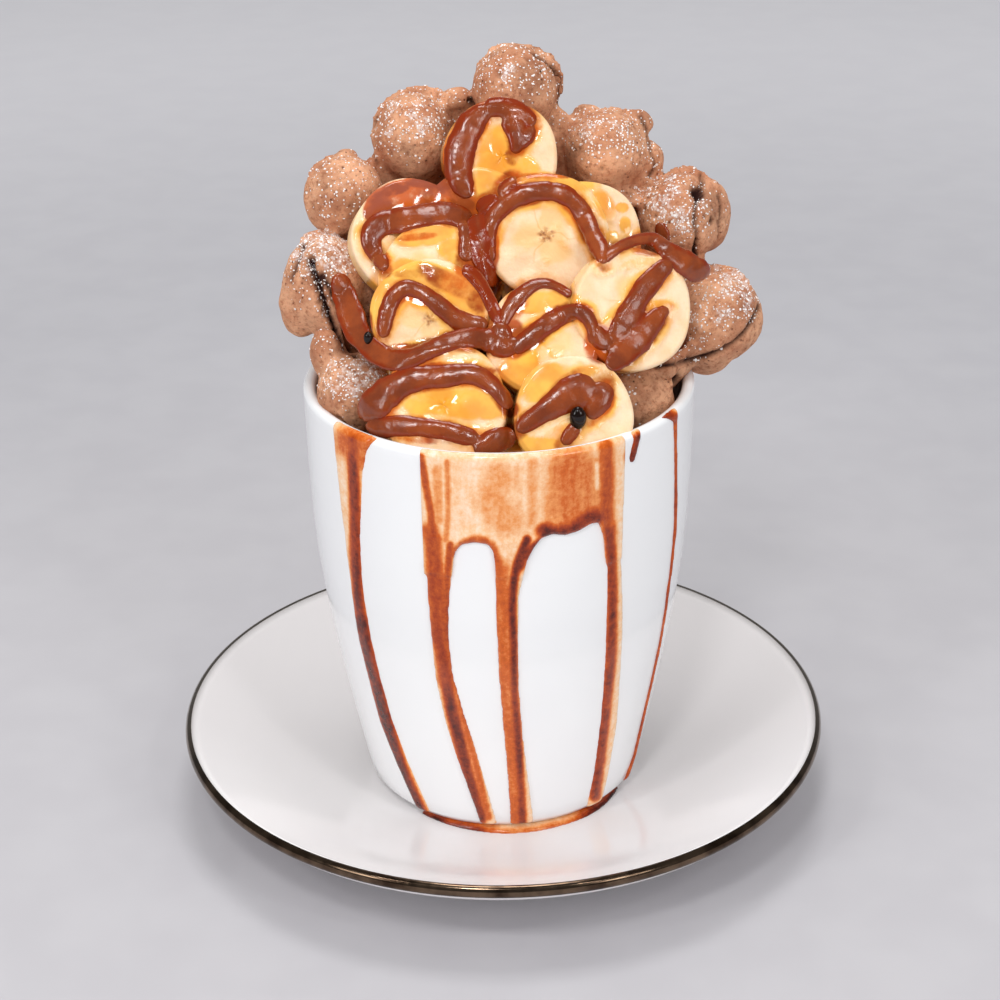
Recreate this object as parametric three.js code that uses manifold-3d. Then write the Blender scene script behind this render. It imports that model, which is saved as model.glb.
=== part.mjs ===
// A bubble waffle served in a tumbler: a rolled chocolate waffle filled with banana slices and
// sauce, in a glazed tumbler that stands on a silver-edged saucer. Millimetres, +Z up, front is -Y.
import * as THREE from "three";
import { mergeVertices } from "three/addons/utils/BufferGeometryUtils.js";
import Module from "manifold-3d";

const wasm = await Module();
wasm.setup();

// Driving dimensions
const saucerRadius = 85;
const saucerHeight = 23;
const saucerWall = 3.4;
const wellFloor = 5; // top of the saucer's flat well above the table
const footRingWidth = 4;
const footRingHeight = 2.2;
const silverWidth = 1.5; // how far the silver edge reaches in from the lip
const silverCoat = 0.4;

const tumblerHeight = 113;
const rimRadius = 49;
const tumblerWall = 3.2;
const tumblerFloor = 5;
const tumblerFootShare = 0.643; // of the rim radius
const wellMargin = 6.5; // flat well shown round the tumbler's foot
const footRingMargin = 6; // from the well's edge out to the saucer's foot ring
const footRecess = 1.6; // hollow under the tumbler, inside its foot ring
const footRingInset = 4;

const seatGap = 0.3; // between pieces that rest on each other
const sauceGap = 0.3; // between sauce and what it lies on

const bubbleRadius = 11.5;
const bubblePitch = 27;
const webThickness = 3;
const rollStep = 4.6; // how far inside the other the sheet's inner end lies
const rollLapDeg = 12;
const waffleTipRadius = 3;
const tipRise = 22; // height over which the rolled tip widens to the full cone

const sliceRadius = 14.5;
const sliceThickness = 9;
const sliceRounding = 1.1;
const hiddenSliceThickness = 10.6;

const sauceRise = 2.2; // how proud a poured line of sauce stands where it is widest
const filmThickness = 1.1; // sauce run down the tumbler
const poolThickness = 1.2;
const poolWidth = 4.4;
const ribbonPitch = 4.5; // between two cross-sections of a poured line

const lathedSides = 36;
const sliceSides = 18;
const hiddenSliceSides = 12;
const ribbonSides = 6;

// Sizes that follow from them
const tumblerFootRadius = rimRadius * tumblerFootShare;
const wellRadius = tumblerFootRadius + wellMargin;
const footRingRadius = wellRadius + footRingMargin;
const tumblerBase = wellFloor + seatGap;
const rimHeight = tumblerBase + tumblerHeight;
const cupFloor = tumblerBase + tumblerFloor;

const finishes = {
  porcelain: { color: 0xf1eff0, roughness: 0.12, metalness: 0 },
  silver: { color: 0xb9b6b0, roughness: 0.18, metalness: 1 },
  glaze: { color: 0xf6f7f8, roughness: 0.1, metalness: 0 },
  waffle: { color: 0x9c6446, roughness: 0.85, metalness: 0 },
  banana: { color: 0xf3e0b0, roughness: 0.45, metalness: 0 },
  chocolate: { color: 0x6b3423, roughness: 0.25, metalness: 0 },
  dripped: { color: 0xa85a2a, roughness: 0.2, metalness: 0 },
  darkBead: { color: 0x140a08, roughness: 0.08, metalness: 0 },
};

const served = new THREE.Group();

function addPiece(name, geometry, finish, parent = served) {
  const mesh = new THREE.Mesh(geometry, new THREE.MeshStandardMaterial(finishes[finish]));
  mesh.name = name;
  parent.add(mesh);
  return mesh;
}

// Solids to cut and join, and back again
function solidOf(geometry) {
  const bare = geometry.clone();
  bare.deleteAttribute("normal");
  bare.deleteAttribute("uv");
  const merged = mergeVertices(bare);
  return new wasm.Manifold(
    new wasm.Mesh({
      numProp: 3,
      vertProperties: new Float32Array(merged.attributes.position.array),
      triVerts: new Uint32Array(merged.index.array),
    }),
  );
}

function geometryOf(solid) {
  const mesh = solid.getMesh();
  const geometry = new THREE.BufferGeometry();
  geometry.setAttribute("position", new THREE.BufferAttribute(mesh.vertProperties, 3));
  geometry.setIndex(new THREE.BufferAttribute(mesh.triVerts, 1));
  geometry.computeVertexNormals();
  return geometry;
}

const largestBody = (solid) =>
  solid.decompose().reduce((best, body) => (body.volume() > best.volume() ? body : best));

function lathe(points) {
  return new THREE.LatheGeometry(points, lathedSides).rotateX(Math.PI / 2);
}

const radiusAndHeight = (radius, height) => new THREE.Vector2(radius, height);

// A shell between two grids of points, [row][column], closed round its four sides
function shellGeometry(front, back) {
  const rows = front.length;
  const columns = front[0].length;
  const positions = [...front.flat(), ...back.flat()].flatMap((p) => [p.x, p.y, p.z]);
  const at = (side, row, column) => side * rows * columns + row * columns + column;
  const faces = [];
  const quad = (a, b, c, d) => faces.push(a, b, c, a, c, d);
  for (let r = 0; r + 1 < rows; r += 1)
    for (let c = 0; c + 1 < columns; c += 1) {
      quad(at(0, r, c), at(0, r, c + 1), at(0, r + 1, c + 1), at(0, r + 1, c));
      quad(at(1, r, c), at(1, r + 1, c), at(1, r + 1, c + 1), at(1, r, c + 1));
    }
  for (let c = 0; c + 1 < columns; c += 1) {
    quad(at(0, 0, c), at(1, 0, c), at(1, 0, c + 1), at(0, 0, c + 1));
    quad(at(0, rows - 1, c), at(0, rows - 1, c + 1), at(1, rows - 1, c + 1), at(1, rows - 1, c));
  }
  for (let r = 0; r + 1 < rows; r += 1) {
    quad(at(0, r, 0), at(0, r + 1, 0), at(1, r + 1, 0), at(1, r, 0));
    quad(at(0, r, columns - 1), at(1, r, columns - 1), at(1, r + 1, columns - 1), at(0, r + 1, columns - 1));
  }
  const geometry = new THREE.BufferGeometry();
  geometry.setAttribute("position", new THREE.Float32BufferAttribute(positions, 3));
  geometry.setIndex(faces);
  geometry.computeVertexNormals();
  return geometry;
}

const smoothStep = (low, high, value) => THREE.MathUtils.smoothstep(value, low, high);

// Saucer: a flat well, a wide rising rim and a foot ring underneath
const saucerLip = saucerWall / 2;
const saucerUnderside = wellFloor - saucerWall + footRingHeight / 2;
const saucerRiseShare = 0.34; // where the rim's curve pulls towards the well

function saucerTop() {
  const rise = new THREE.QuadraticBezierCurve(
    radiusAndHeight(wellRadius, wellFloor),
    radiusAndHeight(THREE.MathUtils.lerp(wellRadius, saucerRadius, saucerRiseShare), wellFloor),
    radiusAndHeight(saucerRadius - silverWidth, saucerHeight - silverCoat),
  );
  return rise.getPoints(5);
}

function saucerGeometry() {
  const below = (p) => radiusAndHeight(p.x + saucerWall / 3, p.y - saucerWall);
  const top = saucerTop();
  const under = top.slice(0, -1).reverse().map(below).filter((p) => p.x > footRingRadius + footRingWidth);
  return lathe([
    radiusAndHeight(0, saucerUnderside),
    radiusAndHeight(footRingRadius - footRingWidth / 2, saucerUnderside),
    radiusAndHeight(footRingRadius - footRingWidth / 4, 0),
    radiusAndHeight(footRingRadius + footRingWidth / 4, 0),
    radiusAndHeight(footRingRadius + footRingWidth / 2, footRingHeight),
    ...under.reverse(),
    radiusAndHeight(saucerRadius - silverWidth, saucerHeight - saucerWall),
    ...top.reverse(),
    radiusAndHeight(0, wellFloor),
  ]);
}

// The fired silver edge wraps the lip's end
function silverEdgeGeometry() {
  const inner = saucerRadius - silverWidth + seatGap;
  return lathe([
    radiusAndHeight(inner, saucerHeight - saucerWall),
    radiusAndHeight(saucerRadius - silverCoat, saucerHeight - saucerWall),
    radiusAndHeight(saucerRadius, saucerHeight - saucerLip),
    radiusAndHeight(saucerRadius - silverCoat, saucerHeight),
    radiusAndHeight(inner, saucerHeight),
    radiusAndHeight(inner, saucerHeight - saucerWall),
  ]);
}

addPiece("saucer", saucerGeometry(), "porcelain");
addPiece("saucer_silver_edge", silverEdgeGeometry(), "silver");

// Tumbler: straight near the rim and drawn in to a small foot
const wallShares = [
  [0, tumblerFootShare], // [share of the height, share of the rim radius]
  [0.03, 0.735],
  [0.2, 0.816],
  [0.4, 0.902],
  [0.6, 0.966],
  [0.8, 0.991],
  [1, 1],
];

function outerRadiusAt(height) {
  const share = THREE.MathUtils.clamp((height - tumblerBase) / tumblerHeight, 0, 1);
  const next = Math.max(1, wallShares.findIndex(([h]) => h >= share));
  const [lowShare, lowRadius] = wallShares[next - 1];
  const [highShare, highRadius] = wallShares[next];
  const within = (share - lowShare) / (highShare - lowShare);
  return rimRadius * THREE.MathUtils.lerp(lowRadius, highRadius, within);
}

const innerRadiusAt = (height) => outerRadiusAt(height) - tumblerWall;
const wallHeights = wallShares.slice(1, -1).map(([h]) => tumblerBase + h * tumblerHeight);
const lipRound = tumblerWall / 2;

// clearance grows the tumbler's solid, for cutting what stands clear of it
function tumblerGeometry(clearance = 0) {
  const outer = wallHeights.map((z) => radiusAndHeight(outerRadiusAt(z) + clearance, z));
  const inner = wallHeights
    .filter((z) => z > cupFloor + lipRound)
    .reverse()
    .map((z) => radiusAndHeight(innerRadiusAt(z) - clearance, z));
  const lipRadius = rimRadius - lipRound;
  const lip = [0, 1 / 3, 2 / 3, 1].map((share) => {
    const angle = Math.PI * share;
    const reach = lipRound + clearance;
    return radiusAndHeight(lipRadius + reach * Math.cos(angle), rimHeight - lipRound + reach * Math.sin(angle));
  });
  return lathe([
    radiusAndHeight(0, tumblerBase + footRecess - clearance),
    radiusAndHeight(tumblerFootRadius - footRingInset, tumblerBase + footRecess - clearance),
    radiusAndHeight(tumblerFootRadius - footRingInset, tumblerBase - clearance),
    radiusAndHeight(tumblerFootRadius, tumblerBase - clearance),
    ...outer,
    ...lip,
    ...inner,
    radiusAndHeight(innerRadiusAt(cupFloor) - lipRound - clearance, cupFloor + clearance),
    radiusAndHeight(0, cupFloor + clearance),
  ]);
}

addPiece("tumbler", tumblerGeometry(), "glaze");
const tumblerClear = solidOf(tumblerGeometry(seatGap));

// Sauce run down the tumbler's outside, from the lip's crest: each run is rows of
// [share of the tumbler's height below the crest, left turn, right turn], turns in degrees from
// the front
const crestShares = [0.004, 0.012, 0.023]; // how far down its first rows lie, over the lip
const curtainRows = [
  [0.03, -22.8, 37],
  [0.1, -23, 36.4],
  [0.19, -22.6, 35.8],
];
const frontRuns = [
  [
    [0.16, -22.5, -11],
    [0.2, -22.4, -12.5],
    [0.4, -21.7, -15.4],
    [0.6, -20.5, -14.5],
    [0.8, -15.6, -9.2],
    [0.965, -10.5, -4.7],
  ],
  [
    [0.16, -4, 9],
    [0.2, -3, 7.5],
    [0.4, -1.7, 5.1],
    [0.6, -0.8, 6.2],
    [0.8, 1, 9.2],
    [0.965, 2.6, 11.7],
  ],
  [
    [0.16, 28, 36],
    [0.2, 28.6, 35.7],
    [0.4, 32, 38.9],
    [0.6, 34.6, 41.5],
    [0.8, 36.6, 44.9],
    [0.965, 37.4, 46.3],
  ],
];
const leftRun = [
  [0.03, -49.6, -40.3],
  [0.2, -50.2, -43.7],
  [0.4, -51.3, -45.6],
  [0.6, -51.5, -44.6],
  [0.8, -48, -41],
  [0.965, -40.5, -33],
];
const thinRun = [
  [0.03, 59, 60.6],
  [0.2, 61.5, 63.1],
  [0.4, 63, 64.8],
  [0.6, 64.8, 66.6],
  [0.8, 66, 67.9],
  [0.94, 67, 69.2],
];
const shortRun = [
  [0.03, 40.4, 42.8],
  [0.06, 39, 41.2],
];
const filmEdgeShare = 0.4; // a film's thickness at its edges, of that at its middle

// A point off the tumbler's outside: how far down from the lip's crest, and how far out
function offWall(turnDeg, downShare, out) {
  const down = downShare * tumblerHeight;
  const lipArc = (lipRound * Math.PI) / 2;
  const angle = Math.max(0, Math.PI / 2 - down / lipRound);
  const straight = Math.max(0, down - lipArc);
  const height = rimHeight - lipRound + (lipRound + out) * Math.sin(angle) - straight;
  const wall = straight > 0 ? outerRadiusAt(height) : rimRadius;
  const radius = wall - lipRound + (lipRound + out) * Math.cos(angle);
  const turn = THREE.MathUtils.degToRad(turnDeg);
  return new THREE.Vector3(radius * Math.sin(turn), -radius * Math.cos(turn), height);
}

function runSolid(rows, columns, clearance) {
  const grid = (thickness, gap) =>
    rows.map(([down, left, right]) =>
      Array.from({ length: columns + 1 }, (_, column) => {
        const film = column === 0 || column === columns ? filmEdgeShare : 1;
        return offWall(THREE.MathUtils.lerp(left, right, column / columns), down, gap + thickness * film);
      }),
    );
  return solidOf(shellGeometry(grid(0, sauceGap), grid(filmThickness, sauceGap + clearance)));
}

const fromCrest = ([first, ...rest]) => [
  ...crestShares.map((down) => [down, first[1], first[2]]),
  first,
  ...rest,
];
const runRows = {
  sauce_run_front: [[fromCrest(curtainRows), 9], ...frontRuns.map((rows) => [rows, 3])],
  sauce_run_left: [[fromCrest(leftRun), 3]],
  sauce_run_thin: [[fromCrest(thinRun), 2]],
  sauce_run_short: [[fromCrest(shortRun), 2]],
};
const joinedRuns = (runs, clearance) =>
  wasm.Manifold.union(runs.map(([rows, columns]) => runSolid(rows, columns, clearance)));
for (const [name, runs] of Object.entries(runRows)) addPiece(name, geometryOf(joinedRuns(runs, 0)), "dripped");
const runsClear = joinedRuns(Object.values(runRows).flat(), sauceGap);

// Waffle: one round sheet rolled to a cone, its free edge a fan of bubbles above the rim
// Each edge bubble's centre from the middle of the rim, [across, back, up] as shares of the rim
// radius, then its size as a share of the bubble radius
const edgeBubbleShares = [
  [-0.71, -0.29, 0.04, 0.83],
  [-0.87, 0.12, 0.45, 1.04],
  [-0.78, 0.41, 0.83, 0.96],
  [-0.43, 0.63, 1.07, 1.0],
  [0.11, 0.73, 1.29, 1.0],
  [0.57, 0.67, 0.96, 1.02],
  [0.96, 0.49, 0.67, 1.02],
  [1.14, 0.2, 0.18, 1.08],
  [0.7, -0.24, -0.06, 0.83],
];
// The sheet's edge where it dips inside the front of the tumbler: [turn from the back in
// degrees, height from the rim as a share of the rim radius]
const frontEdgeShares = [
  [-215, -0.38],
  [-180, -0.46],
  [-145, -0.34],
  [145, -0.38],
  [180, -0.46],
  [215, -0.34],
];
const edgeLiftShare = 0.32; // how far the sheet stands past the middles of its edge bubbles

const coneRadiusAt = (height) => {
  const cone = innerRadiusAt(Math.min(height, rimHeight)) - bubbleRadius - 2 * seatGap;
  const tip = smoothStep(cupFloor, cupFloor + tipRise, height);
  return THREE.MathUtils.lerp(waffleTipRadius, cone, Math.sqrt(tip));
};

const edgeBubbles = edgeBubbleShares.map(([across, back, up, size]) => ({
  turn: Math.atan2(across, back),
  radius: rimRadius * Math.hypot(across, back),
  height: rimHeight + rimRadius * up,
  size: bubbleRadius * size,
}));
const frontEdges = frontEdgeShares.map(([turn, up]) => {
  const height = rimHeight + rimRadius * up;
  return { turn: THREE.MathUtils.degToRad(turn), radius: coneRadiusAt(height), height, size: bubbleRadius };
});
const edgeStops = [...edgeBubbles, ...frontEdges].sort((a, b) => a.turn - b.turn);

// The sheet's free edge at a turn from the back: how far out and how high
function edgeAt(turn) {
  const next = Math.max(1, edgeStops.findIndex((stop) => stop.turn >= turn));
  const low = edgeStops[next - 1];
  const high = edgeStops[next];
  const share = THREE.MathUtils.clamp((turn - low.turn) / (high.turn - low.turn), 0, 1);
  const eased = smoothStep(0, 1, share);
  return {
    radius: THREE.MathUtils.lerp(low.radius, high.radius, eased),
    height: THREE.MathUtils.lerp(low.height, high.height, eased),
  };
}

const rollOffset = (turn) => -rollStep * smoothStep(Math.PI / 2, Math.PI, turn);

// A point of the sheet: rise is 0 at the rolled tip and 1 at the free edge
function sheetPoint(turn, rise, edgeLift = 0) {
  const edge = edgeAt(turn);
  const tip = cupFloor + seatGap + webThickness / 2;
  const height = THREE.MathUtils.lerp(tip, edge.height + edgeLift, rise);
  const above = smoothStep(rimHeight - bubbleRadius, Math.max(edge.height, rimHeight), height);
  const flare = edge.height > rimHeight - bubbleRadius ? above : 0;
  const radius = THREE.MathUtils.lerp(coneRadiusAt(height), edge.radius, flare) + rollOffset(turn);
  return new THREE.Vector3(radius * Math.sin(turn), radius * Math.cos(turn), height);
}

const normalStepShare = 0.01; // of a radian and of the rise, between two points of a slope

function sheetNormal(turn, rise) {
  const around = sheetPoint(turn + normalStepShare, rise).sub(sheetPoint(turn - normalStepShare, rise));
  const along = sheetPoint(turn, rise + normalStepShare).sub(sheetPoint(turn, rise - normalStepShare));
  return along.cross(around).normalize();
}

function webGeometry(clearance) {
  const lap = THREE.MathUtils.degToRad(rollLapDeg);
  const webSides = 24;
  const riseShares = [0.03, 0.14, 0.4, 0.66, 0.85, 1];
  const half = webThickness / 2 + clearance;
  const grid = (face) =>
    riseShares.map((rise) =>
      Array.from({ length: webSides + 1 }, (_, side) => {
        const turn = THREE.MathUtils.lerp(-Math.PI - lap, Math.PI + lap, side / webSides);
        const point = sheetPoint(turn, rise, edgeLiftShare * bubbleRadius);
        return point.addScaledVector(sheetNormal(turn, rise), face * half);
      }),
    );
  return shellGeometry(grid(-1), grid(1));
}

function bubbleSolid(centre, normal, size, sides, rings, clearance) {
  const ball = new THREE.SphereGeometry(size + clearance, sides, rings);
  ball.rotateX(Math.PI / 2);
  const turned = new THREE.Quaternion().setFromUnitVectors(new THREE.Vector3(0, 0, 1), normal);
  ball.applyQuaternion(turned).translate(centre.x, centre.y, centre.z);
  return solidOf(ball);
}

// Bubbles from the free edge down to the tip, each as near its neighbours as the pitch allows
const crowdedShare = 0.92;
const dropTryShare = 0.2; // one try to the next, of the pitch
const turnTry = THREE.MathUtils.degToRad(5);

function bubblePlaces() {
  const places = edgeBubbles.map((bubble) => ({
    centre: sheetPoint(bubble.turn, 1),
    normal: sheetNormal(bubble.turn, 1),
    size: bubble.size,
  }));
  const deepest = Math.max(...edgeBubbles.map((bubble) => bubble.height)) - cupFloor;
  for (let drop = dropTryShare * bubblePitch; drop < deepest; drop += dropTryShare * bubblePitch)
    for (let turn = -Math.PI; turn < Math.PI; turn += turnTry) {
      const { height } = edgeAt(turn);
      const rise = (height - drop - cupFloor) / (height - cupFloor);
      const centre = sheetPoint(turn, rise);
      const clear = places.every((place) => place.centre.distanceTo(centre) > crowdedShare * bubblePitch);
      if (centre.z > cupFloor + bubbleRadius && clear)
        places.push({ centre, normal: sheetNormal(turn, rise), size: bubbleRadius });
    }
  return places;
}

const waffleBubbles = bubblePlaces();

function waffleSolid(clearance) {
  const shown = (place) => place.centre.z > rimHeight - bubbleRadius;
  const balls = waffleBubbles.map((place) =>
    bubbleSolid(place.centre, place.normal, place.size, shown(place) ? 9 : 6, shown(place) ? 6 : 4, clearance),
  );
  return wasm.Manifold.union([solidOf(webGeometry(clearance)), ...balls]);
}

const waffle = largestBody(waffleSolid(0).subtract(tumblerClear));
const waffleClear = waffleSolid(seatGap);
addPiece("waffle", geometryOf(waffle), "waffle");

// Banana slices: the heap that shows, each place from the middle of the rim,
// [across, back, up] as shares of the slice radius, [turn, lean back] in degrees, size share
const heapShares = {
  front_left_rim: [-0.9, -2.07, -0.33, -6, 72, 1],
  front_right_rim: [0.5, -2.12, -0.36, 6, 62, 0.97],
  lower_left: [-0.9, -2.32, 0.44, -5, 30, 1.03],
  lower_right: [1.21, -2.45, 0.29, 5, 26, 0.98],
  right: [2.26, -1.19, 1.64, 20, 26, 1.03],
  left: [-1.12, -1.28, 1.55, 0, 28, 1],
  middle: [0.72, -1.54, 1.27, 0, 34, 0.94],
  centre: [0.82, -0.21, 2.59, 0, 24, 1.05],
  left_inner: [-1.04, -0.57, 2.01, 5, 32, 0.94],
  upper_left: [-1.41, 0.06, 2.48, 14, 30, 1.03],
  upper_right: [1.53, 0.34, 2.37, 10, 30, 0.97],
  top: [0.1, 0.93, 3.61, 8, 24, 0.98],
};

function sliceGeometry(radius, thickness, clearance, sides) {
  const reach = radius + clearance;
  const half = thickness / 2 + clearance;
  const points = [
    radiusAndHeight(0, -half),
    radiusAndHeight(reach, -half),
    radiusAndHeight(reach, half - sliceRounding),
    radiusAndHeight(reach - sliceRounding, half),
    radiusAndHeight(0, half),
  ];
  return new THREE.LatheGeometry(points, sides).rotateX(Math.PI / 2);
}

// The slice's face looks to the front, turned to the right and leant back
function placedSlice([across, back, up, turn, lean, size], clearance, sides = sliceSides) {
  const placed = sliceGeometry(sliceRadius * size, sliceThickness, clearance, sides);
  placed.translate(0, 0, -sliceThickness / 2);
  placed.rotateX(THREE.MathUtils.degToRad(90 - lean));
  placed.rotateZ(THREE.MathUtils.degToRad(turn));
  placed.translate(sliceRadius * across, sliceRadius * back, rimHeight + sliceRadius * up);
  return solidOf(placed);
}

let taken = waffleClear.add(waffle).add(tumblerClear).add(runsClear);

for (const [place, shares] of Object.entries(heapShares)) {
  const slice = largestBody(placedSlice(shares, 0).subtract(taken));
  taken = taken.add(placedSlice(shares, seatGap));
  addPiece(`banana_slice_${place}`, geometryOf(slice), "banana");
}

// Slices under the heap: a stack lying flat up the cone's middle, and a second layer behind the
// shown one, in the same places form as the heap
const stackBase = cupFloor + tipRise - bubbleRadius / 2;
const stackPitch = hiddenSliceThickness + seatGap;
const stackCount = Math.floor((rimHeight - stackBase) / stackPitch);
const backingShares = [
  [-0.95, -1.0, 0.75, 0, 30, 1],
  [1.0, -1.0, 0.75, 0, 30, 1],
  [-0.9, 0.1, 1.75, 0, 28, 1],
  [1.0, 0.1, 1.75, 0, 28, 1],
  [-0.3, 0.3, 2.6, 0, 26, 1],
];

function addHiddenSlice(name, placed) {
  const slice = largestBody(placed(0).subtract(taken));
  taken = taken.add(placed(seatGap));
  addPiece(name, geometryOf(slice), "banana");
}

for (let layer = 0; layer < stackCount; layer += 1) {
  const height = stackBase + (layer + 1 / 2) * stackPitch;
  addHiddenSlice(`stacked_slice_${layer + 1}`, (clearance) =>
    solidOf(
      sliceGeometry(sliceRadius, hiddenSliceThickness, clearance, hiddenSliceSides).translate(0, 0, height),
    ),
  );
}
backingShares.forEach((shares, index) =>
  addHiddenSlice(`backing_slice_${index + 1}`, (clearance) => placedSlice(shares, clearance, hiddenSliceSides)),
);

// Sauce on the heap. It was poured from the front: each line is drawn on a plane through the
// middle of the rim that squarely faces the eye, and falls from there along the eye's lines.
// A line is its width and then its points, [across, up], all as shares of the pour's half width
const pourHalfShare = 3.38; // of the slice radius
const pourHalf = sliceRadius * pourHalfShare;
const eyeBackShare = 10.41;
const eyeUpShare = 4.33;
const eyePitchDeg = 25.85;
const pouredShares = {
  sauce_top_slice: [
    [0.11, [-0.21, 0.97], [-0.21, 1.13], [-0.19, 1.26], [-0.13, 1.34], [-0.03, 1.38], [0.06, 1.35], [0.15, 1.29]],
    [0.08, [0.07, 1.36], [0.08, 1.25], [0.07, 1.13]],
  ],
  sauce_upper_left: [
    [0.11, [-0.59, 0.57], [-0.66, 0.67], [-0.65, 0.73], [-0.59, 0.79], [-0.49, 0.81], [-0.36, 0.84], [-0.15, 0.81]],
  ],
  sauce_valley: [
    [0.1, [-0.09, 0.83], [-0.11, 0.69], [-0.09, 0.58], [-0.07, 0.49]],
    [0.05, [-0.09, 0.55], [-0.07, 0.42], [-0.02, 0.34], [0.02, 0.24]],
  ],
  sauce_centre_arc: [
    [0.07, [-0.06, 0.75], [0.01, 0.85], [0.1, 0.92], [0.24, 0.94], [0.35, 0.93], [0.43, 0.84], [0.47, 0.74], [0.53, 0.59]],
  ],
  sauce_right_edge: [[0.07, [0.56, 0.6], [0.62, 0.65], [0.72, 0.69], [0.81, 0.7], [0.88, 0.62], [1.01, 0.51]]],
  sauce_right_band: [
    [0.06, [0.86, 0.56], [0.78, 0.49], [0.71, 0.4], [0.65, 0.27], [0.64, 0.12]],
    [0.1, [0.83, 0.31], [0.72, 0.2], [0.62, 0.09], [0.57, 0.05]],
  ],
  sauce_middle_upper: [[0.05, [0.03, 0.28], [0.09, 0.38], [0.15, 0.44], [0.24, 0.47], [0.31, 0.44], [0.37, 0.4]]],
  sauce_middle_lower: [[0.07, [0.14, 0.19], [0.24, 0.26], [0.33, 0.32], [0.41, 0.33], [0.46, 0.25], [0.47, 0.2]]],
  sauce_left: [
    [0.07, [-0.59, 0.19], [-0.59, 0.28], [-0.56, 0.37], [-0.5, 0.43], [-0.41, 0.42], [-0.25, 0.29], [-0.17, 0.25], [-0.04, 0.3]],
  ],
  sauce_long_line: [
    [0.1, [-0.76, 0.37], [-0.75, 0.27], [-0.72, 0.19], [-0.66, 0.11], [-0.58, 0.07], [-0.42, 0.11], [-0.19, 0.19], [0.02, 0.15]],
  ],
  sauce_lower_left_upper: [
    [0.09, [-0.65, -0.15], [-0.58, -0.08], [-0.45, -0.03], [-0.36, 0], [-0.25, -0.02], [-0.15, 0], [-0.07, -0.03], [0.06, -0.16]],
  ],
  sauce_lower_left_lower: [[0.08, [-0.66, -0.23], [-0.59, -0.25], [-0.45, -0.25], [-0.28, -0.28], [-0.17, -0.31]]],
  sauce_lower_right: [
    [0.11, [0.11, -0.27], [0.24, -0.19], [0.37, -0.12], [0.49, -0.01]],
    [0.07, [0.5, 0], [0.52, -0.1], [0.47, -0.22], [0.38, -0.29]],
  ],
};
const beadShares = [0.41, -0.22];
const beadSizeShare = 0.045;

const rimMiddle = new THREE.Vector3(0, 0, rimHeight);
const eye = new THREE.Vector3(0, -pourHalf * eyeBackShare, rimHeight + pourHalf * eyeUpShare);
const eyePitch = THREE.MathUtils.degToRad(eyePitchDeg);
const eyeUp = new THREE.Vector3(0, Math.sin(eyePitch), Math.cos(eyePitch));
const eyeRight = new THREE.Vector3(1, 0, 0);
const heap = served.children.filter((mesh) => !mesh.name.startsWith("saucer"));

// Where the eye's line through a point of the plane first meets the heap, or else the plane
function dropped([across, up]) {
  const through = rimMiddle.clone().addScaledVector(eyeRight, pourHalf * across);
  through.addScaledVector(eyeUp, pourHalf * up);
  const plane = through.distanceTo(eye);
  const caster = new THREE.Raycaster(eye, through.sub(eye).normalize());
  const toEye = caster.ray.direction.clone().negate();
  const [hit = { distance: plane, face: { normal: toEye } }] = caster.intersectObjects(heap);
  return { distance: hit.distance, ray: caster.ray, normal: toEye.add(hit.face.normal).normalize() };
}

const bridgeSlopeShare = 0.7; // how steeply a line may fall back, of its own length

function ribbonSolid([widthShare, ...points], clearance) {
  const half = (pourHalf * widthShare) / 2;
  const curve = new THREE.CatmullRomCurve3(points.map(([across, up]) => new THREE.Vector3(across, up, 0)));
  const count = Math.max(3, Math.round((curve.getLength() * pourHalf) / ribbonPitch));
  const hits = curve.getSpacedPoints(count).map((point) => dropped([point.x, point.y]));
  // a line bridges the gaps that it crosses: it falls back no steeper than its slope allows
  const depths = hits.map((hit, index) =>
    Math.min(...hits.map((other, at) => other.distance + Math.abs(at - index) * ribbonPitch * bridgeSlopeShare)),
  );
  const centres = hits.map((hit, index) => hit.ray.at(depths[index] - sauceGap, new THREE.Vector3()));
  const rise = Math.min(sauceRise, half);
  const positions = [];
  centres.forEach((centre, index) => {
    const before = centres[Math.max(0, index - 1)];
    const after = centres[Math.min(centres.length - 1, index + 1)];
    const along = after.clone().sub(before).normalize();
    const across = along.clone().cross(hits[index].normal).normalize();
    const outward = across.clone().cross(along).normalize();
    const end = index === 0 || index === centres.length - 1 ? 1 / 2 : 1;
    for (let side = 0; side < ribbonSides; side += 1) {
      const angle = (2 * Math.PI * side) / ribbonSides;
      const point = centre.clone();
      point.addScaledVector(across, Math.cos(angle) * (half * end + clearance));
      point.addScaledVector(outward, Math.sin(angle) * (rise * end + clearance));
      positions.push(point.x, point.y, point.z);
    }
  });
  centres.slice(0, 1).concat(centres.slice(-1)).forEach((centre) => positions.push(centre.x, centre.y, centre.z));
  const faces = [];
  const at = (station, side) => station * ribbonSides + (side % ribbonSides);
  for (let station = 0; station + 1 < centres.length; station += 1)
    for (let side = 0; side < ribbonSides; side += 1) {
      faces.push(at(station, side), at(station + 1, side + 1), at(station, side + 1));
      faces.push(at(station, side), at(station + 1, side), at(station + 1, side + 1));
    }
  const first = centres.length * ribbonSides;
  for (let side = 0; side < ribbonSides; side += 1) {
    faces.push(first, at(0, side), at(0, side + 1));
    faces.push(first + 1, at(centres.length - 1, side + 1), at(centres.length - 1, side));
  }
  const geometry = new THREE.BufferGeometry();
  geometry.setAttribute("position", new THREE.Float32BufferAttribute(positions, 3));
  geometry.setIndex(faces);
  return solidOf(geometry);
}

function addTopping(name, placed, finish) {
  const topping = largestBody(placed(0).subtract(taken));
  taken = taken.add(placed(sauceGap));
  addPiece(name, geometryOf(topping), finish);
}

for (const [name, lines] of Object.entries(pouredShares))
  addTopping(
    name,
    (clearance) => wasm.Manifold.union(lines.map((line) => ribbonSolid(line, clearance))),
    "chocolate",
  );

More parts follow.
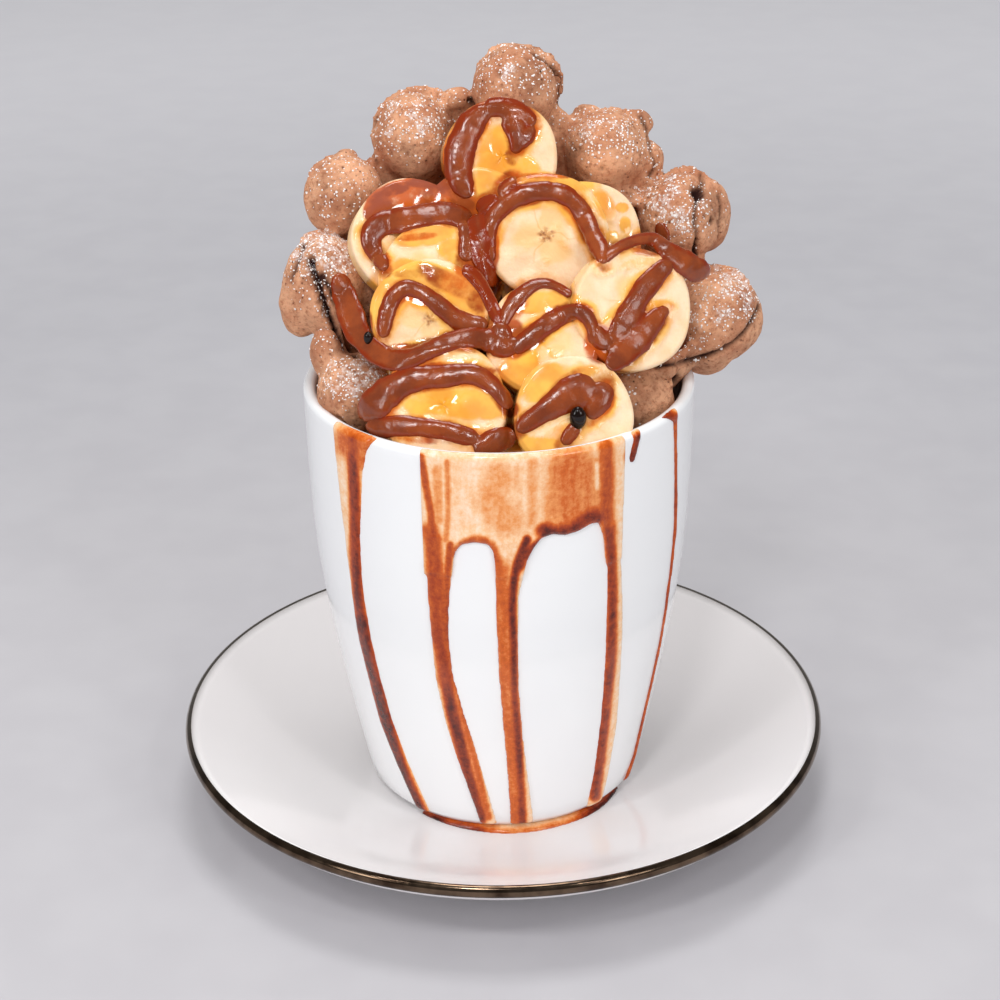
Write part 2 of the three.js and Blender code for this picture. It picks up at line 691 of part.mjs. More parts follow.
addTopping(
  "sauce_dark_bead",
  (clearance) => {
    const { distance, ray } = dropped(beadShares);
    const centre = ray.at(distance - sauceRise / 2, new THREE.Vector3());
    const ball = new THREE.SphereGeometry(pourHalf * beadSizeShare + clearance, 8, 6);
    return solidOf(ball.translate(centre.x, centre.y, centre.z));
  },
  "darkBead",
);

// The sauce pooled on the saucer round the tumbler's foot: [turn in degrees, share of the width]
const poolShares = [
  [-36, 0.35],
  [-24, 0.6],
  [-12, 0.8],
  [0, 1],
  [12, 1],
  [24, 0.9],
  [36, 1.1],
  [46, 0.8],
  [54, 0.35],
];
const poolInner = tumblerFootRadius + poolThickness * 2;

function poolGeometry() {
  const grid = (thickness) =>
    [0, 1 / 3, 2 / 3, 1].map((out) =>
      poolShares.map(([turnDeg, width]) => {
        const radius = poolInner + poolWidth * width * out;
        const turn = THREE.MathUtils.degToRad(turnDeg);
        const height = wellFloor + sauceGap + thickness * (out < 1 ? 1 : 1 / 3);
        return new THREE.Vector3(radius * Math.sin(turn), -radius * Math.cos(turn), height);
      }),
    );
  return shellGeometry(grid(0), grid(poolThickness));
}

addPiece("sauce_pool_foot", poolGeometry(), "dripped");

export default served;
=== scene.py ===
import math
import random
from functools import partialmethod

import bmesh
import bpy
import numpy as np
from mathutils import Matrix, Vector, noise
from mathutils.bvhtree import BVHTree


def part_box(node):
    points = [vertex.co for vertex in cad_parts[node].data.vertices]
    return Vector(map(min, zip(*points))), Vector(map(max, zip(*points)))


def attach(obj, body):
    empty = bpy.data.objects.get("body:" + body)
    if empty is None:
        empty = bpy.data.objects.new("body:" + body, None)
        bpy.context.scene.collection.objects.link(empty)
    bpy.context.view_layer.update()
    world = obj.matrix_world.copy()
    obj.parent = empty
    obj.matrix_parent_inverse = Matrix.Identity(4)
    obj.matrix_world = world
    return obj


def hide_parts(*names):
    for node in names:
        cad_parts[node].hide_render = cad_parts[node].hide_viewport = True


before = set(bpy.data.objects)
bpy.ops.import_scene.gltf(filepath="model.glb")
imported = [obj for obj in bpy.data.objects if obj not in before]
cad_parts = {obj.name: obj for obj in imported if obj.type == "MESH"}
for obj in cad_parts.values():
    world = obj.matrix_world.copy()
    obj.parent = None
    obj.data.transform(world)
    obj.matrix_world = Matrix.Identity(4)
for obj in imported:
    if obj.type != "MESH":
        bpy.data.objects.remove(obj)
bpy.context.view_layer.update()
mm = 0.001
print("frame loaded:", len(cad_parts), "nodes")

# Camera first: everything poured on the food is placed by the pixels that this camera sees
cameraView = {
    "place": (-0.0001, -0.510, 0.3304),
    "pitchDeg": 25.85,  # below the horizon
    "rollDeg": -0.75,
    "lens": 79.2,
    "sensor": 36,
    "imageSize": 1000,
}


def placeObject(name, data):  # a new object in the scene
    made = bpy.data.objects.new(name, data)
    bpy.context.scene.collection.objects.link(made)
    return made


def makeCamera(view):
    pitch = math.radians(view["pitchDeg"])
    roll = math.radians(view["rollDeg"])
    forward = Vector((0, math.cos(pitch), -math.sin(pitch)))
    up = Vector((0, math.sin(pitch), math.cos(pitch)))
    right = Vector((1, 0, 0))
    camRight = right * math.cos(roll) + up * math.sin(roll)
    camUp = up * math.cos(roll) - right * math.sin(roll)
    data = bpy.data.cameras.new("pictureCamera")
    data.lens = view["lens"]
    data.sensor_width = view["sensor"]
    camera = placeObject("pictureCamera", data)
    turn = Matrix((camRight, camUp, -forward)).transposed()
    camera.matrix_world = Matrix.Translation(view["place"]) @ turn.to_4x4()
    bpy.context.scene.camera = camera
    return {
        "eye": np.array(view["place"]),
        "right": np.array(camRight),
        "up": np.array(camUp),
        "forward": np.array(forward),
        "focal": view["lens"] / view["sensor"] * view["imageSize"],
        "middle": view["imageSize"] / 2,
    }


picture = makeCamera(cameraView)


def pixelRays(u, v):  # unit directions through picture pixels
    across = (np.asarray(u, float) - picture["middle"]) / picture["focal"]
    rise = (picture["middle"] - np.asarray(v, float)) / picture["focal"]
    rays = picture["forward"] + across[..., None] * picture["right"] + rise[..., None] * picture["up"]
    return rays / np.linalg.norm(rays, axis=-1, keepdims=True)


def pixelsOf(points):  # where points land in the picture
    away = np.asarray(points) - picture["eye"]
    depth = away @ picture["forward"]
    u = picture["middle"] + picture["focal"] * (away @ picture["right"]) / depth
    v = picture["middle"] - picture["focal"] * (away @ picture["up"]) / depth
    return u, v


# Sizes taken from the frame
tumblerLow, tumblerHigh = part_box("tumbler")
edgeLow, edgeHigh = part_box("saucer_silver_edge")
rimRadius = tumblerHigh.x
tumblerBase = tumblerLow.z
lipCrown = 0.21 * mm  # the frame's lip is a polygon, a little lower than its round
rimHeight = tumblerHigh.z + lipCrown
tumblerHeight = rimHeight - tumblerBase
print("rim radius and height:", round(rimRadius, 4), round(rimHeight, 4))


# Mesh helpers
def smoothStep(low, high, value):
    share = np.clip((np.asarray(value, float) - low) / (high - low), 0, 1)
    return share * share * (3 - 2 * share)


def smoothObject(name, mesh):
    mesh.polygons.foreach_set("use_smooth", [True] * len(mesh.polygons))
    return placeObject(name, mesh)


def addObject(name, verts, faces):
    mesh = bpy.data.meshes.new(name)
    mesh.from_pydata([tuple(p) for p in verts], [], [tuple(f) for f in faces])
    mesh.update()
    return smoothObject(name, mesh)


def bakedMesh(piece):  # its mesh with the modifiers applied; the piece itself goes
    graph = bpy.context.evaluated_depsgraph_get()
    mesh = bpy.data.meshes.new_from_object(piece.evaluated_get(graph))
    bpy.data.objects.remove(piece)
    return mesh


def outward(piece):  # doubles merged, then faces turned outwards
    work = bmesh.new()
    work.from_mesh(piece.data)
    bmesh.ops.remove_doubles(work, verts=work.verts, dist=0.002 * mm)
    bmesh.ops.recalc_face_normals(work, faces=work.faces)
    work.to_mesh(piece.data)
    work.free()
    return piece


def latheObject(name, profile, sides):  # (radius, height) from axis to axis, or round a ring off it
    axisNear = 1e-7
    verts, rings = [], []
    for radius, height in profile:
        if radius < axisNear:
            rings.append([len(verts)] * sides)
            verts.append((0, 0, height))
            continue
        rings.append(list(range(len(verts), len(verts) + sides)))
        for side in range(sides):
            turn = 2 * math.pi * side / sides
            verts.append((radius * math.cos(turn), radius * math.sin(turn), height))
    faces = []
    pairs = list(zip(rings, rings[1:]))
    if profile[0][0] > axisNear:
        pairs.append((rings[-1], rings[0]))
    for low, high in pairs:
        for side in range(sides):
            after = (side + 1) % sides
            corners = [low[side], low[after], high[after], high[side]]
            faces.append([c for i, c in enumerate(corners) if c not in corners[:i]])
    return outward(addObject(name, verts, faces))


def gridShell(front, back):  # vertices and faces of a closed shell between two grids of points
    rows, columns = front.shape[:2]
    verts = np.concatenate([front.reshape(-1, 3), back.reshape(-1, 3)])
    index = np.arange(rows * columns).reshape(rows, columns)
    other = index + rows * columns
    faces = []

    def quads(a, b, c, d):
        faces.extend(np.stack([a.ravel(), b.ravel(), c.ravel(), d.ravel()], 1).tolist())

    quads(index[:-1, :-1], index[:-1, 1:], index[1:, 1:], index[1:, :-1])
    quads(other[:-1, :-1], other[1:, :-1], other[1:, 1:], other[:-1, 1:])
    quads(index[0, :-1], other[0, :-1], other[0, 1:], index[0, 1:])
    quads(index[-1, :-1], index[-1, 1:], other[-1, 1:], other[-1, :-1])
    quads(index[:-1, 0], index[1:, 0], other[1:, 0], other[:-1, 0])
    quads(index[:-1, -1], other[:-1, -1], other[1:, -1], index[1:, -1])
    return verts, faces


def joinShapes(shapes):  # several (verts, faces) as one
    verts, faces, start = [], [], 0
    for points, polygons in shapes:
        verts.append(np.asarray(points, float))
        faces.extend([[c + start for c in polygon] for polygon in polygons])
        start += len(points)
    return np.concatenate(verts), faces


def ballShape(centre, size, level=3, stretch=(1, 1, 1), turn=None):
    work = bmesh.new()
    bmesh.ops.create_icosphere(work, subdivisions=level, radius=1)
    points = np.array([v.co[:] for v in work.verts]) * size * np.array(stretch)
    faces = [[v.index for v in f.verts] for f in work.faces]
    work.free()
    if turn is not None:
        points = points @ np.array(turn).T
    return points + np.asarray(centre), faces


def solidRemesh(name, shapes, voxel, rounds):  # shapes grown into one closed, softened skin
    rough = outward(addObject(name + "Rough", *joinShapes(shapes)))
    remesh = rough.modifiers.new("skin", "REMESH")
    remesh.mode = "VOXEL"
    remesh.voxel_size = voxel
    soften = rough.modifiers.new("soften", "SMOOTH")
    soften.factor = 0.5
    soften.iterations = rounds
    mesh = bakedMesh(rough)
    mesh.name = name
    return smoothObject(name, mesh)


def pointsOf(piece):
    points = np.zeros(len(piece.data.vertices) * 3)
    piece.data.vertices.foreach_get("co", points)
    return points.reshape(-1, 3)


def normalsOf(piece):
    return np.array([n.vector[:] for n in piece.data.vertex_normals])


def movePoints(piece, points):
    piece.data.vertices.foreach_set("co", np.asarray(points, float).ravel())
    piece.data.update()


def noiseOf(x, y, z):  # one value from -1 to 1 for each place
    return np.array([noise.noise(Vector(place)) for place in np.broadcast(x, y, z)])


def noiseAt(points, scale, seed=0.0):
    shift = Vector((seed, seed * 1.7, seed * 0.6))
    return np.array([noise.noise(Vector(p) / scale + shift) for p in points])


def setValues(piece, name, values):
    layer = piece.data.attributes.new(name, "FLOAT", "POINT")
    layer.data.foreach_set("value", np.asarray(values, float))


def setVectors(piece, name, vectors):
    layer = piece.data.attributes.new(name, "FLOAT_VECTOR", "POINT")
    layer.data.foreach_set("vector", np.asarray(vectors, float).ravel())


def finishPiece(piece, material, body, slot, *nodes):
    piece.data.materials.clear()
    piece.data.materials.append(material)
    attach(piece, body)
    if nodes:
        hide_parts(*nodes)
    return piece


# Material helpers
def tint(code):  # "#rrggbb" as linear colour
    parts = [int(code[i : i + 2], 16) / 255 for i in (1, 3, 5)]
    return tuple(c / 12.92 if c <= 0.04045 else ((c + 0.055) / 1.055) ** 2.4 for c in parts) + (1,)


def feed(tree, socket, value):  # a socket linked to another, or set to a value or a colour code
    if isinstance(value, Signal):
        value = value.socket
    if isinstance(value, bpy.types.NodeSocket):
        tree.links.new(value, socket)
    else:
        socket.default_value = tint(value) if str(value).startswith("#") else value


def addNode(tree, kind, inputs=None, **settings):
    node = tree.nodes.new(kind)
    for key, value in settings.items():
        setattr(node, key, value)
    for socket, value in (inputs or {}).items():
        feed(tree, node.inputs[socket], value)
    return node


class Signal:  # a node's output that can be added to, multiplied and so on
    def __init__(self, recipe, socket):
        self.recipe = recipe
        self.socket = socket

    def math(self, how, other=0.0):
        return self.recipe.signal(0, "ShaderNodeMath", {0: self, 1: other}, operation=how)

    __add__ = partialmethod(math, "ADD")
    __sub__ = partialmethod(math, "SUBTRACT")
    __mul__ = partialmethod(math, "MULTIPLY")
    __pow__ = partialmethod(math, "POWER")


class Recipe:  # a material and short ways to add its nodes
    def __init__(self, name, **sockets):
        self.material = bpy.data.materials.new(name)
        self.material.use_nodes = True
        self.tree = self.material.node_tree
        self.paint(**sockets)
        self.place = self.signal("Object", "ShaderNodeTexCoord")

    def paint(self, **sockets):  # into the Principled node, by the names of its sockets
        skin = self.tree.nodes["Principled BSDF"]
        for socket, value in sockets.items():
            feed(self.tree, skin.inputs[socket.replace("_", " ")], value)

    def signal(self, output, kind, inputs=None, **settings):  # one output of a new node
        return Signal(self, addNode(self.tree, kind, inputs, **settings).outputs[output])

    def noise(self, scale, detail=3.0, rough=0.55, place=None):
        inputs = {"Vector": place or self.place, "Scale": scale, "Detail": detail, "Roughness": rough}
        return self.signal("Fac", "ShaderNodeTexNoise", inputs)

    def cells(self, scale, place=None):
        inputs = {"Vector": place or self.place, "Scale": scale}
        return self.signal("Distance", "ShaderNodeTexVoronoi", inputs)

    def range(self, value, low, high, start=0.0, end=1.0, curve="SMOOTHSTEP"):
        inputs = {0: value, 1: low, 2: high, 3: start, 4: end}
        return self.signal("Result", "ShaderNodeMapRange", inputs, interpolation_type=curve)

    def mottle(self, scale, detail, low, high, start=0.0, end=1.0, rough=0.55, curve="SMOOTHSTEP"):
        return self.range(self.noise(scale, detail, rough), low, high, start, end, curve)

    def blend(self, share, a, b):
        return self.signal("Result", "ShaderNodeMix", {"Factor": share, "A": a, "B": b}, data_type="RGBA")

    def grains(self, scale, share, size):  # round specks in cells, as many of them as the share says
        cell = addNode(self.tree, "ShaderNodeTexVoronoi", {"Vector": self.place, "Scale": scale}).outputs
        chosen = self.split(cell["Color"])[0].math("LESS_THAN", share)
        return chosen * self.range(cell["Distance"], size * 0.75, size, 1.0, 0.0)

    def value(self, name, output="Fac"):  # what a piece keeps for each of its points
        return self.signal(output, "ShaderNodeAttribute", attribute_name=name)

    def split(self, vector):
        outputs = addNode(self.tree, "ShaderNodeSeparateXYZ", {0: vector}).outputs
        return [Signal(self, output) for output in outputs]

    def stretched(self, scale):
        return self.signal("Vector", "ShaderNodeMapping", {"Vector": self.place, "Scale": scale})

    def bump(self, height, strength, distance):
        inputs = {"Height": height, "Strength": strength, "Distance": distance}
        self.paint(Normal=self.signal("Normal", "ShaderNodeBump", inputs))


# Saucer and its silver edge
saucerShape = {
    "wall": 3.4 * mm,
    "wellFloor": 5 * mm,
    "wellRadius": 38 * mm,
    "riseShare": 0.34,
    "footRadius": 44 * mm,
    "footWidth": 4 * mm,
    "footHeight": 2.2 * mm,
    "silverWidth": 1.5 * mm,
    "edgeRound": 0.4 * mm,
    "sides": 160,
    "steps": 26,
    "glaze": ("#fbf8f8", "#f6f3f4", "#dfdbdb", 0.2),  # pale, warm, painted shade towards the rear, gloss of the coat
    "silver": ("#7a6654", "#3f3026", "#b4aca4"),  # painted reflection: brownish, dark, and lighter towards the rear
}


def glazeMaterial(name, pale, warm, rearShading, gloss):
    recipe = Recipe(name, Coat_Weight=gloss, Coat_Roughness=0.04, IOR=1.5)
    glaze = recipe.blend(recipe.mottle(18, 2, 0.35, 0.7), pale, warm)
    # Painted shade: the glaze turns darker towards the rear.
    rearShadingShare = recipe.range(recipe.split(recipe.place)[1], -0.06, 0.01)
    recipe.paint(Base_Color=recipe.blend(rearShadingShare, glaze, rearShading))
    recipe.paint(Roughness=recipe.mottle(90, 3, 0.3, 0.8, 0.12, 0.2))
    recipe.bump(recipe.noise(55, 2), 0.05, 0.4 * mm)
    return recipe.material


def silverMaterial(paintedReflection, dark, rearShading):
    recipe = Recipe("firedSilver", Metallic=1.0)
    # The base colour is a painted reflection: dark browns where the edge mirrors a dark room, lighter
    # towards the rear.
    front = recipe.blend(recipe.mottle(160, 4, 0.3, 0.75), paintedReflection, dark)
    rearShadingShare = recipe.range(recipe.split(recipe.place)[1], -0.045, 0.02)
    recipe.paint(Base_Color=recipe.blend(rearShadingShare, front, rearShading))
    recipe.paint(Roughness=recipe.mottle(240, 3, 0.3, 0.8, 0.12, 0.24))
    recipe.bump(recipe.noise(420, 2), 0.15, 0.1 * mm)
    return recipe.material


def saucerProfile(shape):
    outer = edgeHigh.x - shape["silverWidth"]
    height = edgeHigh.z - shape["edgeRound"]
    floor, wall = shape["wellFloor"], shape["wall"]
    start = np.array([shape["wellRadius"], floor])
    end = np.array([outer, height])
    pull = np.array([start[0] + (end[0] - start[0]) * shape["riseShare"], floor])
    shares = np.linspace(0, 1, shape["steps"])[:, None]
    top = (1 - shares) ** 2 * start + 2 * shares * (1 - shares) * pull + shares**2 * end
    under = top + np.array([wall / 3, -wall])
    foot, width = shape["footRadius"], shape["footWidth"]
    under = [tuple(p) for p in under if foot + width * 0.8 < p[0] < outer]
    flat = floor - wall + shape["footHeight"] / 2
    bevel = 0.25 * mm
    profile = [(0, flat), (foot - width / 2, flat), (foot - width * 0.32, bevel), (foot - width / 4, 0)]
    profile += [(foot + width / 4, 0), (foot + width * 0.32, bevel)]
    profile += [(foot + width / 2, shape["footHeight"])] + under
    profile += [(outer, height - wall + shape["edgeRound"])]
    profile += [tuple(p) for p in top[::-1]]
    return profile + [(shape["wellRadius"] * 0.5, floor), (0, floor)]


def makeSaucer(shape):
    saucer = latheObject("saucerGlazed", saucerProfile(shape), shape["sides"])
    finishPiece(saucer, glazeMaterial("saucerGlaze", *shape["glaze"]), "saucer", "porcelain", "saucer")
    inner = edgeHigh.x - shape["silverWidth"] + 0.05 * mm
    middle = (edgeHigh.z + edgeLow.z) / 2
    half = (edgeHigh.z - edgeLow.z) / 2
    bulge = [
        (inner + shape["silverWidth"] * math.cos(a), middle + half * math.sin(a))
        for a in np.linspace(-math.pi / 2, math.pi / 2, 13)
    ]
    band = latheObject("saucerSilverLine", bulge, shape["sides"])
    finishPiece(band, silverMaterial(*shape["silver"]), "saucer", "silver_edge", "saucer_silver_edge")


makeSaucer(saucerShape)
print("saucer made")

# Tumbler: the wall as (share of height, share of rim radius)
tumblerShape = {
    "wall": 3.2 * mm,
    "floor": 5 * mm,
    "footRecess": 1.6 * mm,
    "footInset": 4 * mm,
    "footBevel": 0.5 * mm,
    "floorCorner": 4 * mm,
    # pale, warm, painted shade towards the rear, gloss of the coat
    "glaze": ("#f4f5f6", "#f0f1f3", "#f1f2f4", 0.3),
    "wallShares": [(0, 0.643), (0.012, 0.7), (0.03, 0.735), (0.08, 0.7605), (0.2, 0.816), (0.3, 0.861),
                   (0.4, 0.902), (0.5, 0.938), (0.6, 0.966), (0.7, 0.982), (0.8, 0.991), (1, 1)],
    "sides": 144,
}
cupFloor = tumblerBase + tumblerShape["floor"]


def wallRadius(height):
    share = (np.asarray(height, float) - tumblerBase) / tumblerHeight
    shares, radii = zip(*tumblerShape["wallShares"])
    return rimRadius * np.interp(share, shares, radii)


def makeTumbler(shape):
    wall, lip = shape["wall"], shape["wall"] / 2
    heights = tumblerBase + tumblerHeight * np.array([0.012, 0.03, *np.linspace(0.06, 0.97, 40)])
    outer = [(float(wallRadius(z)), z) for z in heights]
    crest = [
        (rimRadius - lip + lip * math.cos(a), rimHeight - lip + lip * math.sin(a))
        for a in np.linspace(0, math.pi, 13)
    ]
    corner, floorRadius = shape["floorCorner"], float(wallRadius(cupFloor)) - wall
    inner = [(float(wallRadius(z)) - wall, z) for z in heights[::-1] if z > cupFloor + 1.5 * corner]
    foot = rimRadius * shape["wallShares"][0][1]
    recess, inset = tumblerBase + shape["footRecess"], foot - shape["footInset"]
    profile = [(0, recess), (inset, recess), (inset + shape["footBevel"], tumblerBase)]
    profile += [(foot, tumblerBase)] + outer + crest + inner
    profile += [(floorRadius - corner / 4, cupFloor + corner / 2), (floorRadius - corner, cupFloor)]
    profile += [(0, cupFloor)]
    tumbler = latheObject("tumblerGlazed", profile, shape["sides"])
    glaze = glazeMaterial("tumblerGlaze", *shape["glaze"])
    finishPiece(tumbler, glaze, "tumbler", "tumbler_glaze", "tumbler")


makeTumbler(tumblerShape)
print("tumbler made")

# Waffle: the rolled sheet, its bubbles, and the bubbles of its free edge
waffleShape = {
    "bubble": 11.5 * mm,
    "pitch": 27 * mm,
    "web": 3 * mm,
    "rollStep": 4.6 * mm,
    "lapDeg": 12,
    "tipRadius": 3 * mm,
    "tipRise": 22 * mm,
    "crowded": 0.92,
    "clear": 0.6 * mm,
    "edgeLift": 0.32,  # how far the sheet stands past its edge bubbles' middles
    "fringeBack": 3.2 * mm,
    "fringeHalf": 1.1 * mm,
    "shownVoxel": 0.72 * mm,
    "hiddenVoxel": 1.5 * mm,
    "splitDrop": 20 * mm,  # below the rim, where the fine skin hands over to the plain one
    "overlap": 2 * mm,
    "shownGrid": (150, 30),  # points round and up the sheet
    "hiddenGrid": (72, 22),
    "tipClear": 0.3 * mm,
    "rowStep": 0.2,  # rows tried for bubbles, by the pitch
    "turnStepDeg": 5,
    "lumps": (0.5 * mm, 9 * mm),  # height and spacing
    "wrinkles": (0.22 * mm, 2.3 * mm),
    "pores": (0.34 * mm, 1.5 * mm),
    "ragged": (0.35, 2.4 * mm),  # how uneven a crack's width is, and over what length
    # depth at which the painted shade in cracks, holes and pores is darkest
    "darkestPitShade": 1.2 * mm,
    "flangeUneven": 0.07,
}
crustLook = {
    "baked": "#b27657",
    "pale": "#e2aa85",
    "speck": "#96593a",
    "pore": "#5f3423",
    # painted shade for the crust's cracks, holes and pores
    "pitShade": "#34160e",
    "sugar": "#efe8e6",
    "fineGrains": 0.72,  # share of the cells that hold a grain, by the sugar's thickness
    "coarseGrains": 0.42,
}
# Each edge bubble's [across, back, up] as shares of the rim radius, and its width and height by the
# usual bubble
edgeBubbleShares = [
    (-0.71, -0.29, 0.04, 0.86, 0.84),
    (-0.87, 0.12, 0.45, 0.95, 1.1),
    (-0.78, 0.41, 0.82, 0.87, 0.92),
    (-0.42, 0.63, 1.06, 0.9, 1.0),
    (0.1, 0.73, 1.28, 0.92, 1.0),
    (0.57, 0.67, 0.95, 0.93, 0.98),
    (0.95, 0.49, 0.66, 0.93, 1.0),
    (1.13, 0.2, 0.22, 1.02, 1.0),
    (0.7, -0.24, -0.06, 0.85, 0.85),
]
# The sheet's thin rim round each of them, as the picture shows it: its middle in pixels, then half
# its width and height in mm
rimPatches = [
    ((357, 392), 10.6, 10.0),
    ((326, 284), 11.6, 14.0),
    ((342, 196), 11.2, 11.0),
    ((419, 131), 12.6, 11.8),
    ((518, 85), 11.8, 11.4),
    ((611, 151), 12.3, 11.8),
    ((682, 215), 11.8, 12.2),
    ((716, 314), 12.6, 12.8),
    ((653, 399), 6.4, 7.4),
]
# Lumps of the sheet beside its bubbles: picture pixels, the bubble whose depth they share, then
# half the width, height and depth in mm
sheetLumps = [
    ((327, 354), 0, 5.0, 6.5, 4.0),
    ((302, 304), 1, 5.5, 8.5, 5.5),
    ((706, 216), 6, 5.0, 9.6, 6.5),
    ((706, 329), 7, 12.4, 11.4, 8.5),
    ((664, 366), 8, 4.0, 3.4, 3.6),
    ((357, 284), 1, 4.8, 9.6, 6.5),
    ((456, 99), 3, 4.2, 2.8, 3.2),
    ((638, 122), 5, 4.2, 3.4, 3.4),
    ((653, 160), 5, 2.6, 4.4, 3.0),
    ((588, 114), 5, 4.4, 2.6, 3.2),
    ((612, 196), 5, 8.0, 3.6, 6.0),
    ((345, 158), 2, 4.0, 2.2, 2.8),
]
frontEdgeShares = [(-215, -0.38), (-180, -0.46), (-145, -0.34), (145, -0.38), (180, -0.46), (215, -0.34)]


def coneRadius(height, shape):
    wall = float(wallRadius(min(height, rimHeight))) - tumblerShape["wall"]
    cone = wall - shape["bubble"] - shape["clear"]
    tip = float(smoothStep(cupFloor, cupFloor + shape["tipRise"], height))
    return shape["tipRadius"] + (cone - shape["tipRadius"]) * math.sqrt(tip)


def edgeStops(shape):
    stops = []
    for across, back, up, _, _ in edgeBubbleShares:
        reach = rimRadius * math.hypot(across, back)
        stops.append((math.atan2(across, back), reach, rimHeight + rimRadius * up))
    for turn, up in frontEdgeShares:
        height = rimHeight + rimRadius * up
        stops.append((math.radians(turn), coneRadius(height, shape), height))
    return sorted(stops)


sheetStops = edgeStops(waffleShape)


def edgeAt(turn):
    after = next((i for i, stop in enumerate(sheetStops) if stop[0] >= turn), 0)
    low, high = sheetStops[max(0, after - 1)], sheetStops[max(1, after)]
    share = float(smoothStep(low[0], high[0], turn))
    return low[1] + (high[1] - low[1]) * share, low[2] + (high[2] - low[2]) * share


def sheetPoint(turn, rise, shape, lift=0.0):
    edgeRadius, edgeHeight = edgeAt(turn)
    tip = cupFloor + shape["tipClear"] + shape["web"] / 2
    height = tip + (edgeHeight + lift - tip) * rise
    low = rimHeight - shape["bubble"]
    flare = float(smoothStep(low, max(edgeHeight, rimHeight), height)) if edgeHeight > low else 0.0
    radius = coneRadius(height, shape)
    radius += (edgeRadius - radius) * flare
    radius -= shape["rollStep"] * float(smoothStep(math.pi / 2, math.pi, turn))
    return np.array([radius * math.sin(turn), radius * math.cos(turn), height])


def sheetNormal(turn, rise, shape):
    step = 0.01
    around = sheetPoint(turn + step, rise, shape) - sheetPoint(turn - step, rise, shape)
    along = sheetPoint(turn, rise + step, shape) - sheetPoint(turn, rise - step, shape)
    normal = np.cross(along, around)
    return normal / np.linalg.norm(normal)


def bubblePlaces(shape):
    places = []
    for across, back, _, wide, tall in edgeBubbleShares:
        turn = math.atan2(across, back)
        places.append((sheetPoint(turn, 1, shape), sheetNormal(turn, 1, shape), wide, tall))
    deepest = max(place[0][2] for place in places) - cupFloor
    rowStep = shape["rowStep"] * shape["pitch"]
    drop = rowStep
    while drop < deepest:
        for turn in np.arange(-math.pi, math.pi, math.radians(shape["turnStepDeg"])):
            edgeHeight = edgeAt(turn)[1]
            rise = (edgeHeight - drop - cupFloor) / (edgeHeight - cupFloor)
            centre = sheetPoint(turn, rise, shape)
            near = min(np.linalg.norm(place[0] - centre) for place in places)
            if centre[2] > cupFloor + shape["bubble"] and near > shape["crowded"] * shape["pitch"]:
                places.append((centre, sheetNormal(turn, rise, shape), 1.0, 1.0))
        drop += rowStep
    return places


def turnTo(normal):  # a turn that takes +Z to the normal
    return Vector(normal).to_track_quat("Z", "Y").to_matrix()


def webShape(shape, fromHeight, toHeight, grid):
    columns, rows = grid
    lap = math.radians(shape["lapDeg"])
    turns = np.linspace(-math.pi - lap, math.pi + lap, columns)
    front = np.zeros((rows, columns, 3))
    back = np.zeros((rows, columns, 3))
    for c, turn in enumerate(turns):
        edgeHeight = edgeAt(turn)[1]
        low = (fromHeight - cupFloor) / (edgeHeight - cupFloor)
        high = min(1.0, (toHeight - cupFloor) / (edgeHeight - cupFloor))
        low = min(max(low, 0.03), high - 0.02)
        for r, rise in enumerate(np.linspace(low, high, rows)):
            lift = shape["edgeLift"] * shape["bubble"] if high >= 1.0 else 0.0
            point = sheetPoint(turn, rise, shape, lift)
            side = sheetNormal(turn, rise, shape) * shape["web"] / 2
            front[r, c] = point - side
            back[r, c] = point + side
    return gridShell(front, back)


def flangeShape(centre, turn, reach, uneven, seed):  # an uneven thin disc
    points, faces = ballShape((0, 0, 0), 1, 4)
    angles = np.arctan2(points[:, 1], points[:, 0])
    wave = noiseOf(1.7 * np.cos(angles), 1.7 * np.sin(angles), seed)
    points = points * np.array(reach)
    points[:, :2] *= (1 + uneven * wave)[:, None]
    return points @ np.array(turn).T + np.asarray(centre), faces


def bubbleShape(place, shape, level):
    centre, normal, wide, tall = place
    return ballShape(centre, shape["bubble"], level, (wide, tall, min(wide, tall)), turnTo(normal))


def rimPatch(number, shape):
    pixel, wide, tall = rimPatches[number]
    centre, normal = waffleBubbles[number][:2]
    behind = pixelPoint(*pixel, centre + normal * shape["fringeBack"])
    facing = turnTo(normal + picture["forward"])
    reach = (wide * mm, tall * mm, shape["fringeHalf"])
    return flangeShape(behind, facing, reach, shape["flangeUneven"], number * 3.1)


waffleBubbles = bubblePlaces(waffleShape)
splitHeight = rimHeight - waffleShape["splitDrop"]
print("waffle bubbles:", len(waffleBubbles))

# Cracks and holes that show in the crust, as picture pixels: [points], depth and half width in mm
crustCracks = [
    ([(309, 259), (313, 272), (319, 290), (326, 311), (334, 327)], 3.4, 0.75),
    ([(334, 327), (345, 344), (356, 356)], 1.6, 0.7),
    ([(322, 276), (330, 290), (338, 304)], 1.2, 0.8),
    ([(303, 246), (296, 262), (290, 280)], 0.9, 0.8),
    ([(536, 55), (545, 61), (553, 70), (559, 80)], 2.2, 0.65),
    ([(560, 80), (561, 92), (560, 104)], 1.2, 0.6),
    ([(700, 174), (703, 186), (697, 204), (695, 220), (697, 239), (694, 257)], 1.1, 0.6),
    ([(696, 242), (694, 256)], 1.4, 0.5),
    ([(719, 196), (722, 206), (721, 220), (718, 238)], 0.7, 0.5),
    ([(470, 100), (474, 108), (476, 118)], 1.4, 0.7),
    ([(657, 365), (680, 363), (703, 358), (724, 349), (741, 337), (754, 320), (762, 302)], 1.2, 0.7),
    ([(376, 118), (370, 134), (371, 150), (378, 164)], 0.7, 0.6),
    ([(640, 116), (648, 132), (650, 150), (655, 166), (650, 176)], 0.9, 0.6),
    ([(306, 176), (301, 192), (303, 214)], 0.5, 0.5),
]
